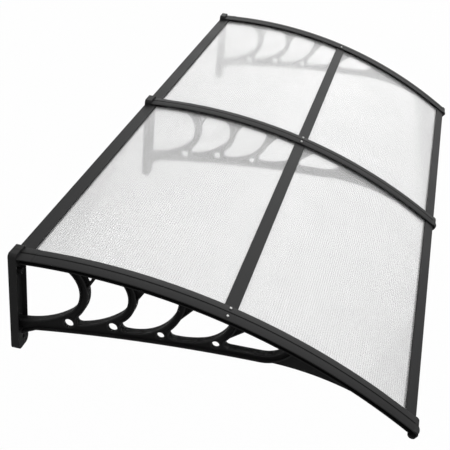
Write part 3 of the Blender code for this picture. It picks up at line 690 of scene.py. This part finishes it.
def opening(index, steps):
    """Pen that has drawn an opening, anticlockwise from its lower left corner."""
    listed = rings()
    centre, radius, _, direction, tail = listed[index]
    turn = radians(direction)
    tail_centre = around(centre, radius - tail, turn)
    if index:
        corner_u = WEB_HOLES[index - 1][0] + CORNER_FROM_HOLE
        corner_reach = CORNER_BLEND
    else:
        corner_u = PLATE_THICKNESS - RECESS_DEPTH - 2 * FIT
        corner_reach = WALL_BLEND
    low = -acos((corner_u - tail_centre[0]) / tail)
    corner = around(tail_centre, tail, low)
    top = meets_arm(centre, radius, SOFFIT)
    top_right = around(centre, radius, top)
    arm_start = arm_angle(top_right[0], SOFFIT)
    arm_cut = TOP_BLEND / (ARC_RADIUS - SOFFIT)
    pen = Pen(steps)
    pen.arc(tail_centre, tail, low + corner_reach / tail, turn)
    pen.arc(centre, radius, turn, top - TOP_BLEND / radius)
    pen.line(top_right, BLEND_SHARE * TOP_BLEND)
    if index:
        before, before_radius, crescent = listed[index - 1][:3]
        outer = before_radius + crescent
        spread, drop = FORKS[index - 1]
        foot = meets_arm(before, outer, SOFFIT + drop)
        top_left_u = around(before, outer, foot)[0] + spread
        lowest = -acos((corner_u + CORNER_RUN - before[0]) / outer)
    else:
        top_left_u = corner_u
    arm_end = arm_angle(top_left_u, SOFFIT)
    pen.along_arm(arm_start - arm_cut, arm_end + arm_cut, SOFFIT, TOP_STEPS)
    pen.line((top_left_u, arm_z(top_left_u, SOFFIT)), BLEND_SHARE * TOP_BLEND)
    if index:
        run = dist(around(before, outer, lowest), corner)
        if run < corner_reach:
            lowest += (corner_reach - run) / outer
        pen.line(around(before, outer, foot))
        pen.arc(before, outer, foot, lowest)
        corner_reach = min(corner_reach, dist(around(before, outer, lowest), corner))
    pen.line(corner, BLEND_SHARE * corner_reach)
    return pen


def fork_hole(steps):
    """Pen that has drawn the small hole in the first crescent's fork."""
    pen = Pen(steps)
    for place in FORK_HOLE:
        pen.line(place, FORK_HOLE_ROUND)
    return pen


def grown_face(pen, grow=0.0):
    """A pen's bmesh and faces, grown outwards by a distance."""
    face = pen.face()
    if grow:
        ring = bmesh.ops.inset_region(
            pen.bm, faces=[face], thickness=-grow, use_boundary=True, use_even_offset=True,
        )["faces"]
        bmesh.ops.delete(pen.bm, geom=ring, context="FACES")
    return pen.bm, pen.bm.faces[:]


def block(name, pen, width, grow=0.0, x=0.0):
    """Solid of a pen's outline."""
    bm, faces = grown_face(pen, grow)
    thicken(bm, faces, width, x)
    return piece(name, bm)


def rim(name, pen, width, rounding):
    """Solid rim round an outline, with its edges rounded."""
    bm, faces = grown_face(pen)
    ring = bmesh.ops.inset_region(
        bm, faces=faces, thickness=-LINING, use_boundary=True, use_even_offset=True,
    )["faces"]
    bmesh.ops.delete(bm, geom=[f for f in bm.faces if f not in ring], context="FACES_ONLY")
    thicken(bm, ring, width)
    round_edges(bm, rounding, lambda e: abs(abs(e.verts[0].co.x) - width / 2) < LEVEL
                and runs_along(e))
    return piece(name, bm)


def barrel(name, radius, length, matrix, rounding=0.0, steps=HOLE_STEPS):
    """Cylinder along the Z of a matrix, with its rims rounded."""
    bm = bmesh.new()
    bmesh.ops.create_cone(
        bm, cap_ends=True, segments=steps, radius1=radius, radius2=radius, depth=length,
        matrix=matrix,
    )
    if rounding:
        round_edges(bm, rounding)
    return piece(name, bm)


def facing_wall(u, z):
    """Matrix at a place, whose Z runs out of the wall."""
    return Matrix.Translation(spot(u, z)) @ Matrix.Rotation(pi / 2, 4, "X")


def across(u, z):
    """Matrix at a place, whose Z runs along the wall."""
    return Matrix.Translation(spot(u, z)) @ Matrix.Rotation(pi / 2, 4, "Y")


def box_solid(low, high):
    """Plain bmesh box between two corners."""
    bm = bmesh.new()
    bmesh.ops.create_cube(bm, size=1.0)
    size = [b - a for a, b in zip(low, high)]
    middle = [(a + b) / 2 for a, b in zip(low, high)]
    bmesh.ops.scale(bm, vec=size, verts=bm.verts)
    bmesh.ops.translate(bm, vec=middle, verts=bm.verts)
    return bm


def wall_plate():
    """Mesh of the wall plate with rounded corners and the recess in its front."""
    half = PLATE_WIDTH / 2
    deep = PLATE_THICKNESS / 2
    front = FIT - PLATE_THICKNESS
    bm = box_solid((-half, -PLATE_THICKNESS, -PLATE_HALF_HEIGHT),
                   (half, 0.0, PLATE_HALF_HEIGHT))
    for end, radius, segments in ((1, PLATE_TOP_CORNER, 8), (-1, PLATE_FOOT_CORNER, 10)):
        bevel_where(bm, radius, segments,
                    lambda a, b: min(end * a.z, end * b.z) > 0 and abs(a.y - b.y) > deep)
    bevel_where(bm, PLATE_EDGE, 3, lambda a, b: a.y < front and b.y < front)
    plate = piece("plate", bm)
    bottom = RECESS_ABOVE_FOOT - PLATE_HALF_HEIGHT
    reach = half - RECESS_WALL
    floor = RECESS_DEPTH - PLATE_THICKNESS
    bm = box_solid((-reach, -2 * PLATE_THICKNESS, bottom),
                   (reach, floor, bottom + RECESS_LENGTH))
    bevel_where(bm, RECESS_CORNER, 6, lambda a, b: abs(a.y - b.y) > deep)
    bevel_where(bm, RECESS_EDGE, 3, lambda a, b: min(a.y, b.y) > floor - LEVEL)
    return joined_and_cut(plate, [], [piece("recess", bm)])


def arm_profile(sizes):
    """Right half of the arm's section: distance from the middle, depth, rounding."""
    half = sizes.arm_width / 2
    groove = sizes.groove_width / 2
    lower = sizes.lower_width / 2
    root = WEB_THICKNESS / 2
    crown = [(share * half, sizes.arm_crown * share ** 2, 0.0) for share in CROWN_SHARES]
    return (
        (groove / 3, FINE_GROOVE_DEPTH, 0.0), (groove, 0.0, FINE_GROOVE_EDGE), *crown,
        (half, sizes.arm_crown, sizes.arm_edge), (half, TOP_FLANGE, FLANGE_EDGE),
        (root, TOP_FLANGE, WEB_FILLET), (root, SLOT_FLOOR, WEB_FILLET),
        (lower, SLOT_FLOOR, FLANGE_EDGE), (lower, ARM_DEPTH, FLANGE_EDGE),
    )


def arm_solid(sizes, start, end):
    """Arm: a crowned top flange, the slot's web and the lower flange, spun in one sweep."""
    right = arm_profile(sizes)
    outline = [*right, *((-x, depth, r) for x, depth, r in reversed(right))]
    bm = bmesh.new()
    verts = [bm.verts.new(spot(*arm_point(start, depth), x)) for x, depth, _ in outline]
    bm.faces.new(verts)
    for radius in sorted({r for _, _, r in outline if r}):
        picked = [v for v, (_, _, r) in zip(verts, outline) if r == radius]
        bevel(bm, picked, radius, 4, "VERTICES")
    face = bm.faces[:][0]
    bmesh.ops.spin(
        bm, geom=[face, *face.edges, *face.verts], cent=(0.0, -CROWN_FROM_WALL, ARC_CENTRE_Z),
        axis=(1.0, 0.0, 0.0), angle=end - start, steps=ARM_STEPS, use_duplicate=False,
    )
    bmesh.ops.recalc_face_normals(bm, faces=bm.faces)
    return piece("arm", bm)


def pad_solids(sizes):
    """Wider pad of the flange next to the wall plate, on each side of the fine groove."""
    half = sizes.arm_width / 2 + PAD_BESIDE
    pads = []
    for side in (-1, 1):
        left, right = sorted((side * sizes.groove_width / 2, side * half))
        bm = box_solid((left, -PAD_END, -PAD_DEPTH), (right, -PLATE_THICKNESS, PAD_PROUD))
        for axis in (1, 0):
            edges = [e for e in bm.edges
                     if abs(e.verts[0].co[axis] - e.verts[1].co[axis]) > PAD_LONG_EDGE]
            bmesh.ops.subdivide_edges(bm, cuts=3, use_grid_fill=True, edges=edges)
        for vert in bm.verts:
            crown = sizes.arm_crown * (vert.co.x / half) ** 2 if vert.co.z > 0 else 0.0
            vert.co.z += arm_z(-vert.co.y, 0.0) - crown
        round_edges(bm, PAD_EDGE, lambda e: e.verts[0].co.y < -PLATE_THICKNESS - FIT)
        pads.append(piece("pad", bm))
    return pads


def nose_solid(sizes, end):
    """Rounded end of the arm, with its corners taken off and a bulge in front."""
    middle = arm_point(end, NOSE_DEPTH)
    base = barrel(
        "nose", NOSE_RADIUS, sizes.arm_width, across(*middle), NOSE_EDGE, sizes.turn_steps
    )
    place = Matrix.Translation(spot(*middle)) @ Matrix.Rotation(end, 4, "X")
    half = sizes.arm_width / 2 + FIT
    reach = NOSE_RADIUS + FIT
    bm = box_solid((-half, -reach, -ARM_DEPTH), (half, 2 * ARM_DEPTH, ARM_DEPTH))
    bevel_where(bm, NOSE_CORNER, 8, lambda a, b: abs(a.z - b.z) > ARM_DEPTH and a.y < 0)
    bmesh.ops.transform(bm, matrix=place, verts=bm.verts)
    trim = piece("trim", bm)
    bm = bmesh.new()
    bmesh.ops.create_uvsphere(bm, u_segments=48, v_segments=24, radius=1.0)
    bmesh.ops.transform(bm, matrix=place @ Matrix.Diagonal((*NOSE_BULGE, 1.0)), verts=bm.verts)
    return placed("nose_body", joined_and_cut(base, [piece("bulge", bm)], [], [trim]))


def web_solid(steps):
    """Thin web between the chord and the arm, with its openings cut out."""
    chord_centre, chord_from, chord_to = chord_arc()
    gusset_centre = (GUSSET_APEX[0], GUSSET_APEX[1] - GUSSET_RADIUS)
    gusset_end = meets_arm(gusset_centre, GUSSET_RADIUS, WEB_ROOT, side=-1)
    foot_u, foot_z = ramp_foot()
    pen = Pen(steps)
    pen.line((foot_u, foot_z + LINING / 2))
    pen.arc(chord_centre, CHORD_RADIUS + LINING / 2, chord_from, chord_to, CHORD_STEPS)
    pen.arc(gusset_centre, GUSSET_RADIUS, pi / 2, gusset_end, GUSSET_STEPS)
    last_u = around(gusset_centre, GUSSET_RADIUS, gusset_end)[0]
    pen.along_arm(
        arm_angle(last_u, WEB_ROOT), arm_angle(foot_u, WEB_ROOT), WEB_ROOT, WEB_TOP_STEPS
    )
    web = block("web", pen, WEB_THICKNESS)
    holes = [
        block("window", opening(i, steps), WINDOW_CUT, LINING / 2) for i in range(len(rings()))
    ]
    holes.append(block("fork_hole", fork_hole(steps), WINDOW_CUT))
    return placed("web_body", joined_and_cut(web, [], holes))


def chord_flange(sizes, steps):
    """Flange along the chord, which ends in the last opening's crescent."""
    chord_centre, chord_from, chord_to = chord_arc()
    foot_u, foot_z = ramp_foot()
    centre, radius, crescent = rings()[-1][:3]
    outer = radius + crescent
    low = -acos((CHORD_ARC[1] - centre[0]) / outer)
    high = meets_arm(centre, outer, WEB_ROOT)
    inner_high = meets_arm(centre, outer - LINING, WEB_ROOT)
    pen = Pen(steps)
    pen.line((foot_u, foot_z))
    pen.arc(chord_centre, CHORD_RADIUS, chord_from, chord_to, CHORD_STEPS)
    pen.arc(centre, outer, low, high)
    pen.arc(centre, outer - LINING, inner_high, low)
    pen.arc(chord_centre, CHORD_RADIUS + LINING, chord_to, chord_from, CHORD_STEPS)
    pen.line((foot_u, foot_z + LINING * hypot(1.0, CHORD_RAMP)))
    bm, faces = grown_face(pen)
    thicken(bm, faces, CHORD_WIDTH)
    round_edges(bm, sizes.rim_round, lambda e: runs_along(e) and e.calc_face_angle() > 1.2)
    return piece("chord_flange", bm)


def frame_solids(sizes, steps):
    """Web, chord flange, rims of the openings, backs of the crescents, rings of the holes."""
    width = sizes.lining_width
    solids = [web_solid(steps), chord_flange(sizes, steps)]
    solids += [
        rim("rim", opening(i, steps), width, sizes.rim_round) for i in range(len(rings()))
    ]
    for (before, before_radius, crescent, *_), (_, drop) in zip(rings(), FORKS):
        outer = before_radius + crescent
        inner = outer - LINING
        foot = meets_arm(before, outer, SOFFIT + drop)
        pen = Pen(steps)
        pen.arc(before, outer, foot, meets_arm(before, outer, WEB_ROOT))
        pen.arc(before, inner, meets_arm(before, inner, WEB_ROOT), foot)
        solids.append(block("crescent_back", pen, width - BACK_SET_IN))
    for u, rise, radius in WEB_HOLES:
        place = across(u, chord_z(u) + rise)
        solids.append(barrel("hole_ring", radius + HOLE_RING, WEB_THICKNESS + HOLE_RING_PROUD,
                             place, HOLE_RING_EDGE))
    return solids


def slot_ends(sizes, end):
    """Cutters for the two slots where they run into the nose."""
    height = SLOT_HEIGHT / 2 + FIT
    back = -NOSE_LIP - ARM_DEPTH
    cutters = []
    for side in (-1, 1):
        pen = Pen(sizes.turn_steps)
        pen.line(arm_point(end, SLOT_MIDDLE - height, back))
        pen.line(arm_point(end, SLOT_MIDDLE + height, back))
        pen.arc(arm_point(end, SLOT_MIDDLE), height, -pi / 2 - end, pi / 2 - end)
        x = side * (sizes.arm_width + WEB_THICKNESS / 2 - FIT)
        cutters.append(block("slot_end", pen, 2 * sizes.arm_width, x=x))
    return cutters


def bracket_solid(sizes):
    """Mesh of one bracket about the frame's origin."""
    end = arm_angle(NOSE_FROM_WALL, SLOT_MIDDLE)
    start = arm_angle(PLATE_THICKNESS / 2, 0.0)
    plate = placed("plate_body", wall_plate())
    joined = [arm_solid(sizes, start, end), nose_solid(sizes, end)]
    joined += pad_solids(sizes) + frame_solids(sizes, sizes.turn_steps)
    boss = facing_wall(BOSS_MIDDLE, TOP_HOLE_Z)
    joined.append(barrel("boss", BOSS_RADIUS, BOSS_LENGTH, boss, BOSS_EDGE))
    drilled = [(WALL_HOLE_RADIUS, facing_wall(0.0, z)) for z in (TOP_HOLE_Z, FOOT_HOLE_Z)]
    drilled += [(radius, across(u, chord_z(u) + rise)) for u, rise, radius in WEB_HOLES]
    cut = slot_ends(sizes, end)
    cut += [barrel("drill", radius, DRILL_LENGTH, place) for radius, place in drilled]
    return joined_and_cut(plate, joined, cut)


def bar_angle(node):
    """Angle of the arm at which a bar lies."""
    low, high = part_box(node)
    return arm_angle(-(low[1] + high[1]) / 2, SLOT_MIDDLE)


def lower_grooves(bm, angle, narrowing):
    """Moves a bar's grooves down to where the sheets rest, and its top a little."""
    u, z = arm_point(angle, SLOT_MIDDLE)
    groove = SHEET_THICKNESS / 2 + 3 * FIT
    core = BAR_WIDTH / 2 - BAR_GROOVE_DEPTH - FIT
    lip = BAR_WIDTH / 2 - FIT
    for vert in bm.verts:
        out_u, out_z = -vert.co.y - u, vert.co.z - z
        along = out_u * cos(angle) - out_z * sin(angle)
        up = out_u * sin(angle) + out_z * cos(angle)
        fall = 0.0
        if up > groove:
            fall = BAR_FALL
        elif up > -groove and abs(along) > core:
            fall = SHEET_DEPTH - SLOT_MIDDLE
        back = narrowing if narrowing * along > abs(narrowing) * lip else 0.0
        vert.co -= spot(
            back * cos(angle) + fall * sin(angle),
            fall * cos(angle) - back * sin(angle),
        )


def sheet_ends(node):
    """Angles of the arm between which a sheet reaches, in the grooves of its two bars."""
    kind, bay = node.split("_sheet_")
    bars = ("rear_rail_", "centre_bar_") if kind == "rear" else ("centre_bar_", "front_rail_")
    width = REAR_RAIL_WIDTH if kind == "rear" else BAR_WIDTH
    first, last = (bar_angle(name + bay) for name in bars)
    mean = ARC_RADIUS - SLOT_MIDDLE
    return first + (width / 2 - GRIP) / mean, last - (BAR_WIDTH / 2 - GRIP) / mean


def flute_cuts(length, pitch):
    """Places along a sheet at which its flutes begin and end, and its own two ends."""
    count = int((length - SHEET_RIB) / pitch)
    margin = (length - count * pitch) / 2
    cuts = [0.0]
    for k in range(count):
        cuts += [margin + k * pitch + SHEET_RIB / 2, margin + (k + 1) * pitch - SHEET_RIB / 2]
    return [*cuts, length]


def twin_wall(node, pitch):
    """Twin-wall sheet in a node's place: two skins joined by ribs, curved along the arm."""
    low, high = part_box(node)
    near, far = sheet_ends(node)
    mean = ARC_RADIUS - SHEET_DEPTH
    cuts = flute_cuts((far - near) * mean, pitch)
    outside = SHEET_THICKNESS / 2
    inside = outside - SHEET_SKIN
    depths = (-outside, -inside, inside, outside)
    bm = bmesh.new()
    grid = bmesh.ops.create_grid(bm, x_segments=len(cuts) - 1, y_segments=3, size=1.0)
    columns = sorted({round(v.co.x, 5) for v in grid["verts"]})
    rows = sorted({round(v.co.y, 5) for v in grid["verts"]})
    hollow = []
    for face in bm.faces:
        middle = face.calc_center_median()
        column = sum(c < middle.x for c in columns) - 1
        row = sum(r < middle.y for r in rows) - 1
        if row == 1 and column % 2 == 1:
            hollow.append(face)
    bmesh.ops.delete(bm, geom=hollow, context="FACES_ONLY")
    for vert in bm.verts:
        cut = cuts[columns.index(round(vert.co.x, 5))]
        depth = depths[rows.index(round(vert.co.y, 5))]
        vert.co = spot(*arm_point(near + cut / mean, SHEET_DEPTH + depth))
    thicken(bm, bm.faces[:], high[0] - low[0] - 2 * LEVEL, middle_x(node))
    mark_flutes(bm)
    return bm


def mark_flutes(bm):
    """Gives the flutes' skins the second material and their ribs the third."""
    inner = []
    for face in bm.faces:
        middle = face.calc_center_median()
        depth = ARC_RADIUS - hypot(-middle.y - CROWN_FROM_WALL, middle.z - ARC_CENTRE_Z)
        off = abs(depth - SHEET_DEPTH)
        if abs(face.normal.x) < 0.5 and off < (SHEET_THICKNESS - SHEET_SKIN) / 2:
            inner.append((face, middle.y, off))
    first = min(y for _, y, _ in inner)
    last = max(y for _, y, _ in inner)
    for face, y, off in inner:
        if first + LEVEL < y < last - LEVEL:
            face.material_index = 2 if off < SHEET_SKIN else 1


def pan_head(place):
    """Pan-head screw with a cross recess, its head on the flange."""
    outline = [(SCREW_HEAD_RADIUS * out, SCREW_HEAD_HEIGHT * up) for out, up in SCREW_HEAD]
    bm = bmesh.new()
    tip = bm.verts.new((0.0, 0.0, SCREW_HEAD_HEIGHT))
    for radius, up in (*outline, *SCREW_SHANK):
        tip = bmesh.ops.extrude_vert_indiv(bm, verts=[tip])["verts"][0]
        tip.co = (radius, 0.0, up)
    bmesh.ops.spin(
        bm, geom=[*bm.verts, *bm.edges], cent=(0.0, 0.0, 0.0), axis=(0.0, 0.0, 1.0),
        angle=2 * pi, steps=SCREW_STEPS, use_merge=True, use_duplicate=False,
    )
    bmesh.ops.remove_doubles(bm, verts=bm.verts, dist=SAME)
    bmesh.ops.recalc_face_normals(bm, faces=bm.faces)
    screw = piece("screw", bm)
    low, high = SCREW_HEAD_HEIGHT - CROSS_DEPTH, SCREW_HEAD_HEIGHT + CROSS_DEPTH
    recess = [
        piece("recess", box_solid((-x, -y, low), (x, y, high)))
        for x, y in (CROSS_HALF_SIZES, CROSS_HALF_SIZES[::-1])
    ]
    mesh = joined_and_cut(screw, [], recess)
    mesh.transform(place)
    return mesh


def dress(obj, materials, nodes):
    """Finish of a piece, its smooth shading, and the nodes that it stands for."""
    obj.data.materials.clear()
    for material in materials:
        obj.data.materials.append(material)
    obj.data.shade_smooth()
    obj.data.set_sharp_from_angle(angle=radians(32))
    weighted = obj.modifiers.new("weighted", "WEIGHTED_NORMAL")
    weighted.keep_sharp = True
    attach(obj, "root")
    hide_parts(*nodes)


class CanopyOperator(bpy.types.Operator):
    """Shared reach of the operators into the scene's settings."""

    bl_options = {"REGISTER", "UNDO"}

    @property
    def sizes(self):
        return bpy.context.scene.canopy_sizes

    @property
    def colours(self):
        return bpy.context.scene.canopy_colours


class CANOPY_OT_brackets(CanopyOperator):
    """Build the three moulded brackets"""

    bl_idname = "canopy.brackets"
    bl_label = "Brackets"

    def execute(self, context):
        material = moulded_plastic(self.colours.bracket)
        body = bracket_solid(self.sizes)
        for node in BRACKET_NODES:
            mesh = body.copy()
            mesh.transform(Matrix.Translation((middle_x(node), 0.0, 0.0)))
            dress(placed("moulded_" + node, mesh), [material], [node])
        bpy.data.meshes.remove(body)
        return {"FINISHED"}


class CANOPY_OT_bars(CanopyOperator):
    """Round the edges of the rails and bars and coat them"""

    bl_idname = "canopy.bars"
    bl_label = "Rails and bars"

    def execute(self, context):
        material = powder_coat(self.colours.bar)
        for node in BAR_NODES:
            bm = bmesh.new()
            bm.from_mesh(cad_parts[node].data)
            bmesh.ops.remove_doubles(bm, verts=bm.verts, dist=SAME)
            bmesh.ops.dissolve_limit(
                bm, angle_limit=radians(1.0), verts=bm.verts, edges=bm.edges,
            )
            kind = node.rpartition("_")[0]
            lower_grooves(bm, bar_angle(node), RAIL_NARROWING.get(kind, 0.0))
            round_edges(bm, self.sizes.bar_edge, lambda e: e.calc_length() > 0.5)
            dress(piece("coated_" + node, bm), [material], [node])
        return {"FINISHED"}


class CANOPY_OT_sheets(CanopyOperator):
    """Build the four twin-wall sheets"""

    bl_idname = "canopy.sheets"
    bl_label = "Twin-wall sheets"

    def execute(self, context):
        colour = self.colours.sheet
        materials = [
            frosted_skin(colour),
            clear_flute("clear_flute", colour, 0.02),
            clear_flute("flute_wall", colour, 0.15),
        ]
        for node in SHEET_NODES:
            made = piece("clear_" + node, twin_wall(node, self.sizes.flute_pitch))
            dress(made, materials, [node])
        return {"FINISHED"}


class CANOPY_OT_screws(CanopyOperator):
    """Build the six pan-head screws"""

    bl_idname = "canopy.screws"
    bl_label = "Screws"

    def execute(self, context):
        material = zinc_steel(self.colours.screw)
        angle = arm_angle(SCREW_FROM_WALL, SLOT_MIDDLE)
        u, z = arm_point(angle, 0.0)
        for node in SCREW_NODES:
            place = Matrix.Translation(spot(u, z, middle_x(node)))
            made = placed("turned_" + node, pan_head(place @ Matrix.Rotation(angle, 4, "X")))
            dress(made, [material], [node])
        return {"FINISHED"}


class CANOPY_OT_studio(CanopyOperator):
    """Lay the floor, hang the lights and set up the camera"""

    bl_idname = "canopy.studio"
    bl_label = "Studio"

    def execute(self, context):
        studio_floor(self.colours.floor)
        studio_world()
        lights()
        camera()
        context.scene.view_settings.view_transform = "Standard"
        return {"FINISHED"}


class CANOPY_PT_panel(bpy.types.Panel):
    """Sidebar panel with the sizes, the colours and the steps of the build"""

    bl_idname = "CANOPY_PT_panel"
    bl_label = "Door Canopy"
    bl_space_type = "VIEW_3D"
    bl_region_type = "UI"
    bl_category = "Canopy"

    def draw(self, context):
        for settings in (context.scene.canopy_sizes, context.scene.canopy_colours):
            column = self.layout.column()
            for name in settings.__annotations__:
                column.prop(settings, name)
        for operator in OPERATORS:
            self.layout.operator(operator.bl_idname)


def studio_floor(colour):
    """Floor that is white to the camera and keeps the canopy's shadow for the rest."""
    bm = bmesh.new()
    bmesh.ops.create_grid(bm, x_segments=1, y_segments=1, size=FLOOR_REACH)
    bmesh.ops.translate(bm, verts=bm.verts, vec=(0.0, 0.0, -FLOOR_DROP))
    floor = piece("studio_floor", bm)
    finish = Finish("studio_floor")
    matt = finish.node("ShaderNodeBsdfDiffuse", None, {"Color": (*colour, 1.0)})
    white = finish.node("ShaderNodeEmission", None, {"Color": WHITE, "Strength": 1.0})
    shader = finish.mix_shaders(finish.seen() * FLOOR_WHITE, matt, white)
    floor.data.materials.append(finish.close(shader))


def studio_world():
    """World that is plain white behind the canopy, and a little dimmer as a light."""
    finish = Finish("studio", bpy.data.worlds)
    lit, shown = (
        finish.node("ShaderNodeBackground", None, {"Color": WHITE, "Strength": strength})
        for strength in (WORLD_LIGHT, 1.0)
    )
    bpy.context.scene.world = finish.close(finish.mix_shaders(finish.seen(), lit, shown))


def lights():
    """Large soft lights above and to the side."""
    for name, place, size, power in LIGHTS:
        lamp = bpy.data.lights.new(name, "AREA")
        lamp.shape = "RECTANGLE"
        lamp.size, lamp.size_y = size
        lamp.energy = power
        made = bpy.data.objects.new(name, lamp)
        made.location = place
        aim = Vector(LIGHT_AIM) - made.location
        made.rotation_euler = aim.to_track_quat("-Z", "Y").to_euler()
        bpy.context.collection.objects.link(made)


def camera():
    """Camera at the photograph's viewing angle."""
    data = bpy.data.cameras.new("camera")
    data.sensor_width = 36.0
    data.lens = CAMERA_LENS
    data.shift_x, data.shift_y = CAMERA_SHIFT
    data.clip_end = 100.0
    made = bpy.data.objects.new("camera", data)
    made.location = CAMERA_PLACE
    made.rotation_euler = [radians(a) for a in CAMERA_TURN]
    bpy.context.collection.objects.link(made)
    bpy.context.scene.camera = made


OPERATORS = (
    CANOPY_OT_brackets, CANOPY_OT_bars, CANOPY_OT_sheets, CANOPY_OT_screws, CANOPY_OT_studio,
)
CLASSES = (CanopySizes, CanopyColours, *OPERATORS, CANOPY_PT_panel)


def register():
    """Registers the classes and hangs the settings on the scene."""
    for cls in CLASSES:
        bpy.utils.register_class(cls)
    bpy.types.Scene.canopy_sizes = PointerProperty(type=CanopySizes)
    bpy.types.Scene.canopy_colours = PointerProperty(type=CanopyColours)


def unregister():
    """Takes the settings and the classes away again."""
    del bpy.types.Scene.canopy_sizes
    del bpy.types.Scene.canopy_colours
    for cls in reversed(CLASSES):
        bpy.utils.unregister_class(cls)


def main():
    """Builds everything in order."""
    register()
    for operator in (
        bpy.ops.canopy.brackets, bpy.ops.canopy.bars, bpy.ops.canopy.sheets,
        bpy.ops.canopy.screws, bpy.ops.canopy.studio,
    ):
        operator()


if __name__ == "__main__":
    main()
